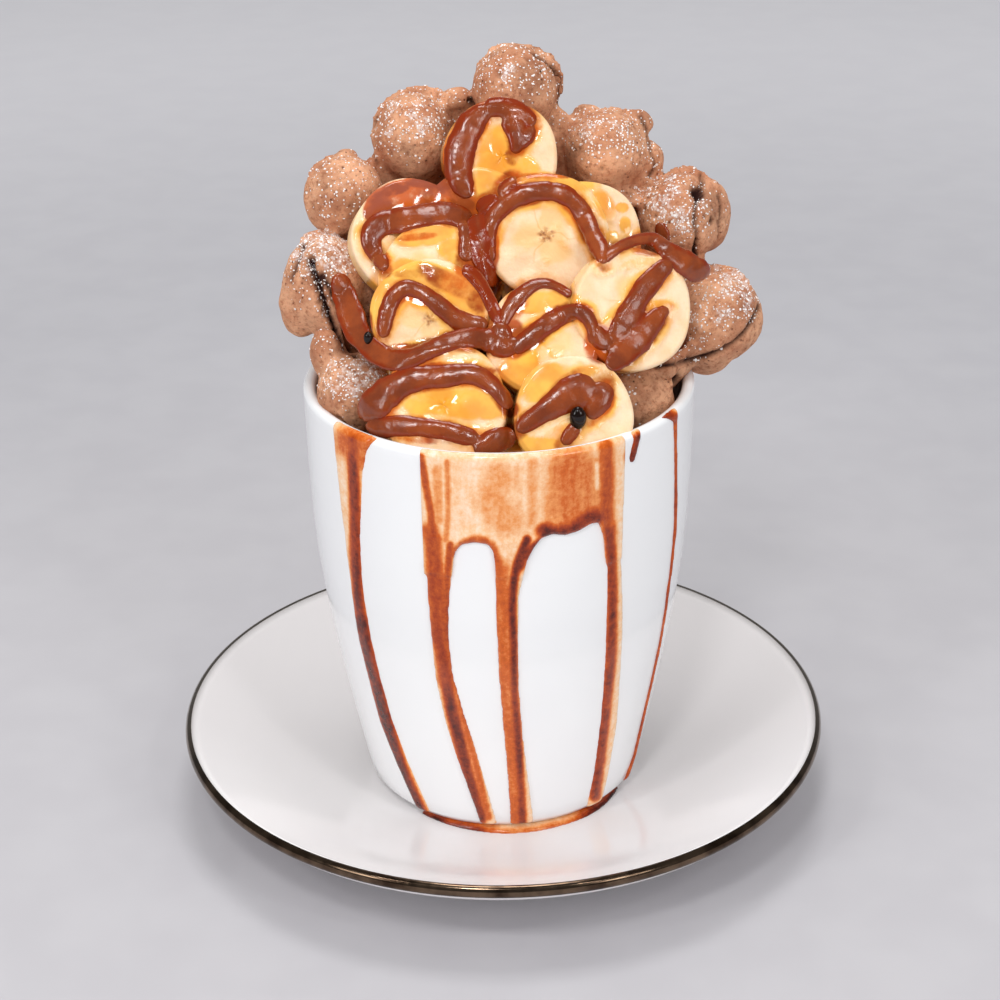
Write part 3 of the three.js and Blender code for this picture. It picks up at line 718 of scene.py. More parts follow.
crustHoles = [
    ((698, 192), 2.4, 1.7), ((713, 221), 1.3, 0.7), ((705, 216), 0.9, 0.5), ((499, 75), 0.7, 0.5),
    ((602, 169), 1.0, 0.6), ((604, 186), 0.8, 0.5), ((644, 208), 0.9, 0.6), ((655, 216), 0.8, 0.5),
    ((408, 117), 0.6, 0.5), ((386, 350), 2.4, 1.4), ((681, 247), 0.8, 0.5), ((640, 163), 0.7, 0.5),
    ((680, 391), 5.5, 2.6), ((673, 382), 3.0, 1.6), ((684, 382), 3.5, 2.0), ((302, 244), 1.2, 0.7),
]


def pixelPoint(u, v, like):  # the point seen at a pixel, as far away as another point
    ray = pixelRays(u, v)
    depth = (np.asarray(like) - picture["eye"]) @ picture["forward"]
    return picture["eye"] + ray * depth / (ray @ picture["forward"])


def castOn(tree, u, v):
    ray = pixelRays(u, v)
    hit = tree.ray_cast(Vector(picture["eye"]), Vector(ray))
    return None if hit[0] is None else np.array(hit[0])


def alongLine(points, step):  # a smooth line through pixel points, sampled about every step pixels
    points = np.array(points, float)
    if len(points) < 3:
        points = np.array([points[0], points.mean(0), points[-1]])
    ends = [2 * points[0] - points[1], *points, 2 * points[-1] - points[-2]]
    out = []
    for a, b, c, d in zip(ends, ends[1:], ends[2:], ends[3:]):
        count = max(2, int(np.linalg.norm(c - b) / step))
        square, cube = 2 * a - 5 * b + 4 * c - d, 3 * b - a - 3 * c + d
        for t in np.linspace(0, 1, count, endpoint=False):
            out.append(0.5 * (2 * b + (c - a) * t + square * t**2 + cube * t**3))
    out.append(points[-1])
    return np.array(out)


def nearLine(line, u, v):  # pixels to a smooth line of (u, v, width), and half its width there
    spots = alongLine(line, 9.0)
    nearest, half = np.full(len(u), 1e9), np.ones(len(u))
    for (au, av, aw), (bu, bv, bw) in zip(spots, spots[1:]):
        du, dv = bu - au, bv - av
        share = np.clip(((u - au) * du + (v - av) * dv) / (du * du + dv * dv + 1e-9), 0, 1)
        away = np.hypot(u - au - share * du, v - av - share * dv)
        half = np.where(away < nearest, (aw + (bw - aw) * share) / 2, half)
        nearest = np.minimum(nearest, away)
    return nearest, half


def crustRelief(piece, shape):  # baked-in lumps, wrinkles, pores, cracks and holes
    points, normals = pointsOf(piece), normalsOf(piece)
    tree = BVHTree.FromObject(piece, bpy.context.evaluated_depsgraph_get())
    (lump, lumpStep), (wrinkle, wrinkleStep) = shape["lumps"], shape["wrinkles"]
    (pore, poreStep), (uneven, unevenStep) = shape["pores"], shape["ragged"]
    lift = lump * noiseAt(points, lumpStep, 2.0) + wrinkle * noiseAt(points, wrinkleStep, 5.0)
    lift -= pore * smoothStep(0.38, 0.7, noiseAt(points, poreStep, 9.0))
    for line, depth, half in crustCracks:
        spots = [castOn(tree, u, v) for u, v in alongLine(line, 1.5)]
        spots = np.array([s for s in spots if s is not None])
        if len(spots):
            margin = 3 * half * mm
            near = np.all((points > spots.min(0) - margin) & (points < spots.max(0) + margin), axis=1)
            away = np.min(np.linalg.norm(points[near][:, None] - spots[None], axis=2), axis=1)
            ragged = half * mm * (1 + uneven * noiseAt(points[near], unevenStep, 11.0))
            lift[near] -= depth * mm * np.exp(-((away / ragged) ** 2))
    for (u, v), depth, half in crustHoles:
        spot = castOn(tree, u, v)
        if spot is not None:
            away = np.linalg.norm(points - spot, axis=1)
            lift -= depth * mm * np.exp(-((away / (half * mm)) ** 2))
    movePoints(piece, points + normals * lift[:, None])
    return lift


def makeWaffle(shape, material):
    shown = [p for p in waffleBubbles if p[0][2] > splitHeight]
    hidden = [p for p in waffleBubbles if p[0][2] <= splitHeight + shape["bubble"]]
    parts = [webShape(shape, splitHeight - shape["overlap"], 1.0, shape["shownGrid"])]
    parts += [bubbleShape(place, shape, 4) for place in shown]
    parts += [rimPatch(number, shape) for number in range(len(rimPatches))]
    for pixel, number, *reach in sheetLumps:
        centre = pixelPoint(*pixel, waffleBubbles[number][0])
        parts.append(ballShape(centre, mm, 4, reach, turnTo(waffleBubbles[number][1])))
    top = solidRemesh("waffleFan", parts, shape["shownVoxel"], 2)
    relief = crustRelief(top, shape)
    points, normals = pointsOf(top), normalsOf(top)
    # painted shade: darker by how deep the crust is pushed in
    setValues(top, "pitShade", np.clip(-relief / shape["darkestPitShade"], 0, 1))
    setValues(top, "sugar", sugarShare(points, normals))
    finishPiece(top, material, "waffle", "waffle", "waffle")
    parts = [webShape(shape, cupFloor, splitHeight, shape["hiddenGrid"])]
    parts += [bubbleShape(place, shape, 3) for place in hidden]
    cone = solidRemesh("waffleCone", parts, shape["hiddenVoxel"], 1)
    for name in ("pitShade", "sugar"):
        setValues(cone, name, np.zeros(len(cone.data.vertices)))
    finishPiece(cone, material, "waffle", "waffle", "waffle")
    return top, cone


# Powdered sugar: a thin dust on what faces up, and patches in picture pixels (u, v, radius) with
# how thickly each is dusted
sugarDust = {
    "everywhere": 0.16,
    "turnedAway": 0.35,  # how much of a patch stays where the crust turns from the camera
    "clump": 0.75,
    "clumpStep": 3.6 * mm,
}
sugarPatches = [
    (330, 240, 24, 2.1), (304, 262, 18, 0.7), (346, 256, 20, 1.9), (316, 236, 16, 1.2),
    (360, 300, 16, 0.4), (320, 292, 24, 0.3), (356, 386, 22, 0.9), (332, 372, 16, 0.8),
    (343, 381, 15, 1.2), (370, 369, 14, 1.8), (323, 310, 9, 1.2), (345, 180, 34, 0.7),
    (395, 112, 34, 0.7), (432, 118, 32, 0.65), (410, 150, 30, 0.5), (512, 66, 38, 0.6),
    (545, 90, 26, 0.5), (494, 90, 20, 0.5), (612, 122, 38, 0.7), (580, 130, 20, 0.5),
    (668, 196, 30, 1.2), (690, 225, 26, 0.6), (676, 232, 20, 0.7), (742, 285, 26, 1.0),
    (706, 318, 24, 0.8), (722, 272, 22, 1.0), (700, 350, 18, 0.9), (748, 312, 14, 0.9),
    (648, 384, 20, 0.6), (650, 400, 13, 1.3), (650, 160, 24, 0.5), (300, 240, 16, 0.6),
    (316, 345, 14, 0.4),
]
# The big right bubble's lower half shell stays clean below this seam, in picture pixels
lowerShellSeam = [(640, 372), (680, 364), (703, 359), (724, 350), (741, 338), (754, 321), (764, 300)]


def belowSeam(u, v):
    across, down = zip(*lowerShellSeam)
    return (u > across[0]) & (v > np.interp(u, across, down))


def sugarShare(points, normals):
    u, v = pixelsOf(points)
    patch = np.zeros(len(points))
    for pu, pv, radius, weight in sugarPatches:
        patch += weight * np.exp(-((u - pu) ** 2 + (v - pv) ** 2) / radius**2)
    toEye = picture["eye"] - points
    toEye /= np.linalg.norm(toEye, axis=1, keepdims=True)
    faces = smoothStep(-0.1, 0.5, np.sum(toEye * normals, axis=1))
    up = smoothStep(-0.25, 0.65, normals[:, 2] - 0.25 * normals[:, 1])
    clump = sugarDust["clump"] * (1 + noiseAt(points, sugarDust["clumpStep"], 21.0))
    patch *= sugarDust["turnedAway"] + (1 - sugarDust["turnedAway"]) * faces
    dust = (sugarDust["everywhere"] + patch) * up * np.clip(clump, 0.15, 1.4)
    return np.clip(dust * ~belowSeam(u, v), 0, 1)


def waffleMaterial(look):
    recipe = Recipe("waffleCrust", Roughness=0.82, Specular_IOR_Level=0.25, Subsurface_Weight=0.05,
                    Subsurface_Scale=0.6 * mm)
    crust = recipe.blend(recipe.mottle(110, 5, 0.3, 0.7, rough=0.6), look["baked"], look["pale"])
    crust = recipe.blend(recipe.mottle(760, 4, 0.46, 0.7, rough=0.75) * 0.75, crust, look["speck"])
    pores = recipe.range(recipe.cells(640), 0.0, 0.28, 1.0, 0.0) * recipe.mottle(190, 2, 0.45, 0.62)
    crust = recipe.blend(pores, crust, look["pore"])
    # Painted shade: the crust darkens by the depth of its cracks, holes and pores.
    crust = recipe.blend(recipe.value("pitShade"), crust, look["pitShade"])
    sugar = recipe.value("sugar")
    fine = recipe.grains(1300, sugar * look["fineGrains"], 0.34)
    coarse = recipe.grains(760, sugar * look["coarseGrains"], 0.32)
    haze = recipe.range(sugar, 0.78, 1.15) * recipe.mottle(900, 3, 0.42, 0.6, rough=0.7) * 0.75
    dust = fine.math("MAXIMUM", coarse).math("MAXIMUM", haze)
    recipe.paint(Base_Color=recipe.blend(dust * 0.92, crust, look["sugar"]))
    recipe.bump(recipe.noise(460, 5, 0.7) + pores * -0.6 + dust * 0.35, 0.75, 0.6 * mm)
    return recipe.material


crustMaterial = waffleMaterial(crustLook)
waffleFan, waffleCone = makeWaffle(waffleShape, crustMaterial)
print("waffle made:", len(waffleFan.data.polygons), "and", len(waffleCone.data.polygons), "faces")

# Chocolate poured on the heap
pour = {
    "bridge": 0.9,  # how steeply a line may fall back, of its own length
    "pixel": 0.25 * mm,  # one picture pixel at the heap
    "voxel": 0.36 * mm,
    "softened": 5.5,  # pixels of a line's width that softening its skin takes away
    "proud": 0.2,  # height of a line by its half width
    "taper": 0.85,  # width at a line's ends by its usual width
    "sink": 0.7 * mm,
    "step": 2.0,  # pixels from one row of a line to the next
    "columns": 15,
    "thinnest": 4,  # pixels
    "wave": (0.12, 14),  # unevenness of the width, and the pixels that it goes by
    "ripple": (0.07, 5),
    "lump": (0.22, 9),  # unevenness of the height
    "evening": 8,  # rounds that even out the depths under a line
    "rounds": 4,  # of softening
    "lumps": ((0.12 * mm, 3.2 * mm), (0.03 * mm, 0.8 * mm)),  # height and spacing on the softened skin
    "least": 0.36 * mm,  # height that even the thinnest line has
    "gap": 60 * mm,  # how far behind the rest a line lies where it misses the heap
}
chocolateLook = {"body": ("#74331a", "#96461f"), "thin": "#842a05", "foam": "#b0683f"}
# For each node, its lines as picture pixels with the width at each
pouredLines = {
    "sauce_top_slice": [
        [(470, 198, 8), (464, 188, 18), (459, 174, 24), (459, 158, 26), (463, 142, 26),
         (470, 127, 24), (479, 116, 20), (490, 110, 18)],
        [(484, 110, 17), (498, 107, 16), (512, 110, 17), (524, 116, 16), (535, 124, 11)],
        [(508, 112, 30), (514, 122, 26), (517, 133, 19), (517, 144, 12), (514, 154, 5)],
        [(534, 126, 9), (527, 134, 14), (521, 142, 13), (517, 150, 9)],
    ],
    "sauce_upper_left": [
        [(380, 262, 10), (373, 248, 15), (371, 236, 17), (380, 225, 20), (396, 221, 20),
         (412, 218, 20), (428, 215, 18), (444, 213, 18), (458, 216, 19), (472, 219, 16)],
        [(464, 222, 12), (466, 236, 10), (467, 250, 13), (465, 262, 12)],
        [(376, 254, 13), (382, 263, 12), (385, 271, 7)],
    ],
    "sauce_valley": [
        [(478, 212, 18), (488, 204, 16), (498, 196, 12)],
        [(476, 214, 22), (479, 230, 26), (481, 246, 24), (484, 262, 17), (489, 276, 12), (494, 287, 7)],
        [(462, 268, 9), (474, 276, 10), (485, 292, 9), (493, 308, 9), (502, 326, 9)],
    ],
    "sauce_centre_arc": [
        [(492, 262, 6), (489, 244, 9), (490, 228, 11), (496, 214, 13), (510, 201, 15), (526, 194, 15),
         (544, 191, 15), (562, 194, 15), (576, 204, 14), (586, 220, 14), (594, 238, 14),
         (601, 252, 14), (604, 264, 9)],
        [(500, 196, 8), (506, 187, 9), (516, 178, 6)],
    ],
    "sauce_right_edge": [
        [(604, 262, 5), (612, 252, 7), (626, 244, 7), (642, 239, 7), (655, 240, 9), (664, 248, 14),
         (676, 257, 17), (690, 266, 22), (700, 273, 22), (706, 279, 12)],
        [(660, 222, 7), (662, 232, 9), (666, 244, 9)],
    ],
    "sauce_right_band": [
        [(672, 262, 13), (661, 270, 16), (652, 280, 18), (643, 291, 18), (636, 302, 19),
         (630, 314, 21), (622, 328, 23), (612, 340, 22)],
        [(668, 308, 5), (658, 316, 14), (648, 328, 20), (636, 340, 24), (624, 352, 22),
         (614, 362, 16), (606, 368, 8)],
        [(594, 326, 10), (600, 338, 16), (610, 348, 16)],
    ],
    "sauce_middle_upper": [
        [(502, 326, 9), (510, 308, 11), (518, 298, 12), (529, 288, 9), (543, 283, 6), (558, 287, 4),
         (572, 296, 3)],
    ],
    "sauce_middle_lower": [
        [(512, 352, 10), (524, 342, 14), (540, 330, 15), (554, 320, 14), (568, 313, 13),
         (580, 312, 12), (589, 320, 10), (593, 332, 8), (593, 344, 6)],
    ],
    "sauce_left": [
        [(383, 338, 8), (385, 322, 11), (389, 306, 12), (396, 294, 13), (407, 288, 12),
         (424, 294, 12), (440, 306, 14), (456, 319, 16), (472, 325, 17), (488, 324, 14)],
    ],
    "sauce_long_line": [
        [(337, 273, 10), (341, 285, 17), (346, 300, 21), (352, 318, 22), (359, 335, 18),
         (373, 350, 18), (390, 359, 18), (408, 359, 16), (426, 352, 14), (444, 344, 14),
         (460, 339, 15), (478, 338, 17), (494, 342, 20), (506, 347, 20), (520, 341, 13)],
        [(497, 322, 14), (502, 334, 18), (506, 344, 18)],
    ],
    "sauce_lower_left_upper": [
        [(362, 420, 18), (372, 408, 28), (384, 396, 28), (398, 386, 23), (412, 380, 21),
         (430, 377, 20), (448, 376, 19), (464, 374, 17), (478, 376, 15), (492, 385, 13),
         (502, 396, 12), (510, 409, 9)],
    ],
    "sauce_lower_left_lower": [
        [(366, 424, 14), (380, 427, 17), (400, 426, 16), (420, 427, 14), (446, 431, 14),
         (466, 436, 15), (478, 440, 12)],
        [(474, 451, 8), (484, 446, 18), (496, 441, 22), (508, 436, 18), (515, 432, 8)],
    ],
    "sauce_lower_right": [
        [(517, 431, 9), (530, 421, 15), (545, 411, 19), (560, 401, 26), (574, 393, 34),
         (588, 388, 38), (596, 386, 32)],
        [(597, 382, 30), (600, 394, 26), (596, 406, 20), (589, 419, 9)],
        [(577, 424, 9), (570, 434, 11), (563, 445, 10)],
    ],
}
# How far the red of thin sauce shows through
thinlyPoured = {"sauce_valley": 0.8, "sauce_top_slice": 0.2}

# Banana slices
sliceShape = {
    "radius": 14.5 * mm,
    "thickness": 9 * mm,
    "round": 0.9 * mm,
    "dome": 0.35 * mm,
    "film": 0.3 * mm,  # thickness of the thin sauce that wets a face
    "amberReach": 19,  # picture pixels past a poured line
    "redReach": 10,
    "rings": 30,
    "sides": 110,
    "hiddenThickness": 10.6 * mm,
    "hiddenRings": 5,
    "hiddenSides": 40,
    "unround": (0.012, 0.01),
    "bumps": 0.3 * mm,  # on the cut face
    "bumpsAcross": 3.1,
    "crease": 0.2 * mm,  # depth of the three creases in its middle
    "creaseReach": 0.3,
    "stainUneven": 0.6,
    "stainStep": 6 * mm,
}
fleshLook = {
    "flesh": ("#f9dcb8", "#f4ca9c"),
    "mottle": "#ecc384",
    "heart": "#efc07a",
    "seam": "#dfa550",
    "star": "#c88a48",
    "seeds": "#9a5a2e",
    "side": "#f3d18e",
    "amber": ("#f8b83c", "#ea9418"),
    "brown": ("#c44e0a", "#8a2404"),
    "deepRed": "#8c2000",
}
# (across, back, up) from the rim's middle as shares of the slice radius, the turn to the right and
# the lean back in degrees, and the size
heapSlices = {
    "front_left_rim": (-0.9, -2.07, -0.33, -6, 72, 1),
    "front_right_rim": (0.5, -2.12, -0.36, 6, 62, 0.97),
    "lower_left": (-0.9, -2.32, 0.44, -5, 30, 1.03),
    "lower_right": (1.21, -2.45, 0.29, 5, 26, 0.98),
    "right": (2.26, -1.19, 1.64, 20, 26, 1.03),
    "left": (-1.12, -1.28, 1.55, 0, 28, 1),
    "middle": (0.72, -1.54, 1.27, 0, 34, 0.94),
    "centre": (0.82, -0.21, 2.59, 0, 24, 1.05),
    "left_inner": (-1.04, -0.57, 2.01, 5, 32, 0.94),
    "upper_left": (-1.41, 0.06, 2.48, 14, 30, 1.03),
    "upper_right": (1.53, 0.34, 2.37, 10, 30, 0.97),
    "top": (0.1, 0.93, 3.61, 8, 24, 0.98),
}
backingSlices = [
    (-0.95, -1.0, 0.75, 0, 30, 1),
    (1.0, -1.0, 0.75, 0, 30, 1),
    (-0.9, 0.1, 1.75, 0, 28, 1),
    (1.0, 0.1, 1.75, 0, 28, 1),
    (-0.3, 0.3, 2.6, 0, 26, 1),
]
# Amber sauce that soaks the slices, as picture pixels: (u, v, half width, half height, tilt in
# degrees, strength), and the same for red-brown sauce thinned over them
amberPools = [
    (497, 160, 24, 40, 10, 1.0), (520, 172, 24, 20, 0, 0.8), (490, 186, 20, 14, 0, 0.9),
    (425, 234, 38, 14, -8, 1.0), (452, 250, 18, 14, 0, 0.8), (552, 183, 58, 13, 0, 0.95),
    (604, 205, 12, 22, -28, 0.8), (602, 206, 9, 7, 0, 1.0), (622, 208, 8, 6, 0, 1.0),
    (625, 224, 7, 9, 0, 1.0), (612, 236, 9, 7, 0, 0.8), (425, 276, 50, 16, 14, 1.0),
    (388, 305, 16, 38, 0, 0.9), (373, 315, 11, 40, 0, 1.4), (468, 296, 34, 18, 30, 1.0),
    (486, 320, 18, 14, 0, 0.8), (545, 302, 38, 13, -6, 1.0), (518, 372, 22, 34, 20, 1.0),
    (505, 398, 16, 22, 0, 0.9), (556, 352, 12, 10, 0, 0.5), (552, 374, 34, 14, 0, 0.7),
    (640, 262, 30, 8, -18, 0.5), (612, 330, 16, 34, 24, 0.7), (660, 307, 15, 9, -10, 1.0),
    (640, 286, 14, 22, 36, 0.8), (466, 404, 54, 18, 4, 1.0), (424, 402, 24, 14, -20, 0.9),
    (470, 432, 36, 8, 6, 0.7), (545, 385, 28, 14, -40, 1.0), (568, 376, 40, 10, -12, 0.8),
    (525, 444, 46, 9, 0, 1.0), (560, 434, 30, 12, -20, 0.6), (606, 420, 10, 26, 10, 0.3),
    (562, 238, 9, 20, -30, 0.42), (544, 264, 14, 9, 0, 0.36), (528, 214, 12, 8, -30, 0.3),
    (440, 366, 50, 6, -6, 0.6),
]
redPools = [
    (416, 195, 60, 20, -4, 0.8), (378, 206, 14, 20, 24, 1.7), (396, 189, 22, 8, -18, 1.8),
    (424, 183, 26, 7, 0, 1.8), (448, 189, 20, 9, 30, 1.8), (462, 202, 18, 12, 30, 1.7),
    (447, 184, 12, 9, 0, 2.2), (450, 283, 50, 13, 24, 0.65), (417, 237, 26, 5, -6, 0.7),
    (414, 274, 30, 6, 0, 0.6), (478, 302, 16, 12, 40, 0.8), (506, 190, 16, 24, 30, 0.9),
    (484, 250, 16, 38, 0, 1.5), (545, 176, 50, 4, 0, 0.7), (655, 250, 28, 8, 0, 0.8),
    (640, 296, 9, 26, 30, 0.6), (520, 300, 12, 30, 24, 0.6), (506, 110, 36, 11, 0, 0.8),
    (455, 373, 50, 7, -3, 0.9), (602, 345, 20, 22, 0, 1.0), (602, 398, 12, 28, 0, 0.5),
    (369, 326, 5, 18, 0, 0.8), (408, 348, 30, 6, 0, 0.8), (470, 345, 60, 10, 4, 0.8),
    (536, 332, 26, 10, -24, 0.7), (505, 335, 22, 22, 0, 1.0), (570, 398, 34, 16, -30, 0.7),
    (420, 438, 44, 7, 6, 0.7), (378, 405, 22, 26, 20, 1.0), (512, 156, 9, 12, 0, 0.7),
]


def lineStain(u, v, reach):  # how near a pixel lies to a poured line, fading over the reach
    share = np.zeros(len(u))
    for line in [line for lines in pouredLines.values() for line in lines]:
        away, half = nearLine(line, u, v)
        share = np.maximum(share, 1 - smoothStep(half, half + reach, away))
    return share


def poolShare(u, v, pools):
    total = np.zeros(len(u))
    for pu, pv, wide, tall, tilt, strength in pools:
        angle = math.radians(tilt)
        du, dv = u - pu, v - pv
        along = (du * math.cos(angle) + dv * math.sin(angle)) / wide
        across = (-du * math.sin(angle) + dv * math.cos(angle)) / tall
        total = np.maximum(total, strength * (1 - smoothStep(0.55, 1.25, np.hypot(along, across))))
    return total


def sliceProfile(shape, radius, thickness, rings):  # (radius, height), from the front to the back
    dome, edge = shape["dome"], shape["round"]
    face = [(radius - edge) * i / rings for i in range(1, rings + 1)]
    front = [(r, -dome * (r / radius) ** 2) for r in face]
    corner = [
        (radius - edge * (1 - math.sin(a)), -dome - edge * (1 - math.cos(a)))
        for a in np.linspace(0.3, math.pi / 2, 5)
    ]
    sides = [(radius, -thickness * s) for s in (0.3, 0.45, 0.6, 0.75)]
    sides.append((radius - 0.4 * mm, -thickness + 0.3 * mm))
    back = [(radius * s, -thickness) for s in (0.94, 0.6, 0.3)]
    return front + corner + sides + back


def sliceSkin(profile, faceRings, sides, waves):  # points, each point's place on the cut, and faces
    radius, thickness = max(r for r, _ in profile), -profile[-1][1]
    points, place = [(0, 0, 0)], [(0, 0, 0)]
    for ring, (r, z) in enumerate(profile):
        for side in range(sides):
            a = 2 * math.pi * side / sides
            uneven = 1 + sum(high * math.cos(count * a + phase) for high, count, phase in waves)
            x, y = r * uneven * math.cos(a), r * uneven * math.sin(a)
            points.append((x, y, z))
            place.append((x / radius, y / radius, 0 if ring < faceRings else max(0.0, -z / thickness)))
    points.append((0, 0, -thickness))
    place.append((0, 0, 1))
    starts = [1 + ring * sides for ring in range(len(profile))]
    turns = [(s, (s + 1) % sides) for s in range(sides)]
    faces = [(0, 1 + s, 1 + after) for s, after in turns]
    for low, high in zip(starts, starts[1:]):
        faces += [(low + s, high + s, high + after, low + after) for s, after in turns]
    faces += [(starts[-1] + s, len(points) - 1, starts[-1] + after) for s, after in turns]
    return np.array(points), np.array(place), faces


def cutRelief(place, shape, phase, seed):  # heights of the cut face's bumps and creases
    reach = np.hypot(place[:, 0], place[:, 1])
    angle = np.arctan2(place[:, 1], place[:, 0])
    crease = np.abs(np.cos(1.5 * angle + phase)) ** 6 * np.exp(-((reach / shape["creaseReach"]) ** 2))
    across, down = place[:, 0] * shape["bumpsAcross"], place[:, 1] * shape["bumpsAcross"]
    bumps = noiseOf(across + seed, down, 0)
    return (place[:, 2] == 0) * (shape["bumps"] * bumps - shape["crease"] * crease)


def makeSlice(node, shares, shape, seed, shown=True):
    across, back, up, turnDeg, leanDeg, size = shares
    thickness = shape["thickness" if shown else "hiddenThickness"]
    rings = shape["rings" if shown else "hiddenRings"]
    sides = shape["sides" if shown else "hiddenSides"]
    dice = random.Random(seed)
    phases = dice.uniform(0, 6.28), dice.uniform(0, 6.28)
    profile = sliceProfile(shape, shape["radius"] * size, thickness, rings)
    points, place, faces = sliceSkin(profile, rings, sides, list(zip(shape["unround"], (5, 3), phases)))
    if shown:
        points[:, 2] += cutRelief(place, shape, phases[0], seed)
    lean = Matrix.Rotation(math.radians(90 - leanDeg), 3, "X")
    turned = Matrix.Rotation(math.radians(turnDeg), 3, "Z") @ lean
    centre = np.array([0, 0, rimHeight]) + shape["radius"] * np.array([across, back, up])
    points = points @ np.array(turned).T + centre
    u, v = pixelsOf(points)
    stained = (place[:, 2] < 0.95) * shown
    patchy = 0.75 + shape["stainUneven"] * noiseAt(points, shape["stainStep"], 31.0)
    amber, red = [
        np.maximum(poolShare(u, v, pools), lineStain(u, v, reach) * patchy) * stained
        for pools, reach in ((amberPools, shape["amberReach"]), (redPools, shape["redReach"]))
    ]
    film = (place[:, 2] == 0) * shape["film"] * smoothStep(0.2, 0.7, np.maximum(amber, red))
    piece = addObject(node + "_cut", points + np.outer(film, turned.col[2]), faces)
    setVectors(piece, "cut", place)
    setValues(piece, "amber", amber)
    setValues(piece, "red", red)
    setValues(piece, "kind", np.full(len(points), seed % 7 / 7))
    return finishPiece(piece, fleshMaterial, "waffle", "banana", node)


def bananaMaterial(look):
    recipe = Recipe("bananaFlesh", Specular_IOR_Level=0.5, Subsurface_Scale=1.6 * mm,
                    Subsurface_Radius=(1.0, 0.6, 0.35))
    cut = recipe.value("cut", "Vector")
    x, y, side = recipe.split(cut)
    reach = (x * x + y * y) ** 0.5 + recipe.mottle(260, 3, 0.2, 0.8, -0.05, 0.05, curve="LINEAR")
    angle = y.math("ARCTAN2", x) + recipe.value("kind") * 6.28
    angle = angle + recipe.mottle(140, 2, 0.2, 0.8, -0.5, 0.5, curve="LINEAR")
    onFace = recipe.range(side, 0.0, 0.04, 1.0, 0.0)
    flesh = recipe.blend(recipe.mottle(130, 5, 0.3, 0.7, rough=0.6), *look["flesh"])
    flesh = recipe.blend(recipe.mottle(700, 3, 0.5, 0.75, rough=0.7) * 0.3, flesh, look["mottle"])
    lobes = (angle * 3.0).math("COSINE") * 0.14
    heart = recipe.range(reach - lobes, 0.3, 0.5, 1.0, 0.0)
    flesh = recipe.blend(heart * onFace * 0.75, flesh, look["heart"])
    seam = recipe.range((angle * 1.5).math("COSINE"), -0.14, 0.14)
    seam = seam * (seam * -1.0 + 1.0) * recipe.range(reach, 0.1, 0.75, 2.2, 0.0)
    flesh = recipe.blend(seam * onFace, flesh, look["seam"])
    points = (angle * 5.0).math("COSINE") * 0.045
    star = recipe.range(reach - points, 0.02, 0.12, 1.0, 0.0)
    flesh = recipe.blend(star * onFace * 0.8, flesh, look["star"])
    dots = recipe.range(recipe.cells(19.0, cut), 0.25, 0.65, 1.0, 0.0)
    seeds = dots * recipe.range(reach, 0.04, 0.13, 1.0, 0.0)
    flesh = recipe.blend(seeds * onFace * 0.9, flesh, look["seeds"])
    flesh = recipe.blend(recipe.range(side, 0.06, 0.3) * 0.5, flesh, look["side"])
    uneven = recipe.mottle(190, 4, 0.25, 0.75, 0.65, 1.3, rough=0.6)
    redness = recipe.value("red") * uneven
    amber = recipe.range(recipe.value("amber") * uneven, 0.2, 0.8)
    red = recipe.range(redness, 0.25, 0.85)
    wet = recipe.blend(recipe.mottle(120, 3, 0.35, 0.65), *look["amber"])
    flesh = recipe.blend(amber * 0.85, flesh, wet)
    brown = recipe.blend(recipe.mottle(110, 3, 0.38, 0.62), *look["brown"])
    brown = recipe.blend(recipe.range(redness, 0.95, 1.7), brown, look["deepRed"])
    recipe.paint(Base_Color=recipe.blend(red * 0.9, flesh, brown))
    wetness = amber.math("MAXIMUM", red)
    recipe.paint(Roughness=recipe.range(wetness, 0.1, 0.6, 0.38, 0.07))
    recipe.paint(Subsurface_Weight=recipe.range(wetness, 0.1, 0.6, 0.2, 0.0))
    grain = recipe.noise(1000, 3) + recipe.noise(320, 4)
    recipe.bump(grain * recipe.range(wetness, 0.1, 0.6, 1.0, 0.15), 0.3, 0.3 * mm)
    return recipe.material


fleshMaterial = bananaMaterial(fleshLook)


def makeSlices(shape):
    made = []
    for number, (place, shares) in enumerate(heapSlices.items()):
        made.append(makeSlice(f"banana_slice_{place}", shares, shape, number + 1))
    for number, shares in enumerate(backingSlices):
        made.append(makeSlice(f"backing_slice_{number + 1}", shares, shape, number + 20))
    for node in sorted(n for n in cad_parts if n.startswith("stacked_slice_")):
        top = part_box(node)[1].z
        shares = (0, 0, (top - rimHeight) / shape["radius"], 0, 90, 1)
        makeSlice(node, shares, shape, int(node[-1]), shown=False)
    return made


bananaSlices = makeSlices(sliceShape)
print("banana slices made:", len(bananaSlices))


def makeHeapTree():
    verts, faces, start = [], [], 0
    for piece in [waffleFan, *bananaSlices]:
        verts += [v.co.copy() for v in piece.data.vertices]
        faces += [[c + start for c in p.vertices] for p in piece.data.polygons]
        start = len(verts)
    return BVHTree.FromPolygons(verts, faces)


heapTree = makeHeapTree()


def bridged(depth, steps, slope):  # depths that fall back no steeper than the slope, either way
    depth = depth.copy()
    for _ in range(2):
        for lines, step in ((depth, steps[0]), (depth.T, steps[1])):
            for way in (lines, lines[::-1]):
                for before, after in zip(way, way[1:]):
                    np.minimum(after, before + slope * step, out=after)
    return depth


def evened(values, rounds):
    for _ in range(rounds):
        padded = np.pad(values, 1, mode="edge")
        beside = padded[:-2, 1:-1] + padded[2:, 1:-1] + padded[1:-1, :-2] + padded[1:-1, 2:]
        values = (4 * values + beside) / 8
    return values


def unevenAlong(centre, share, step, seed):
    return share * noiseOf(centre[:, 0] / step, centre[:, 1] / step, seed)


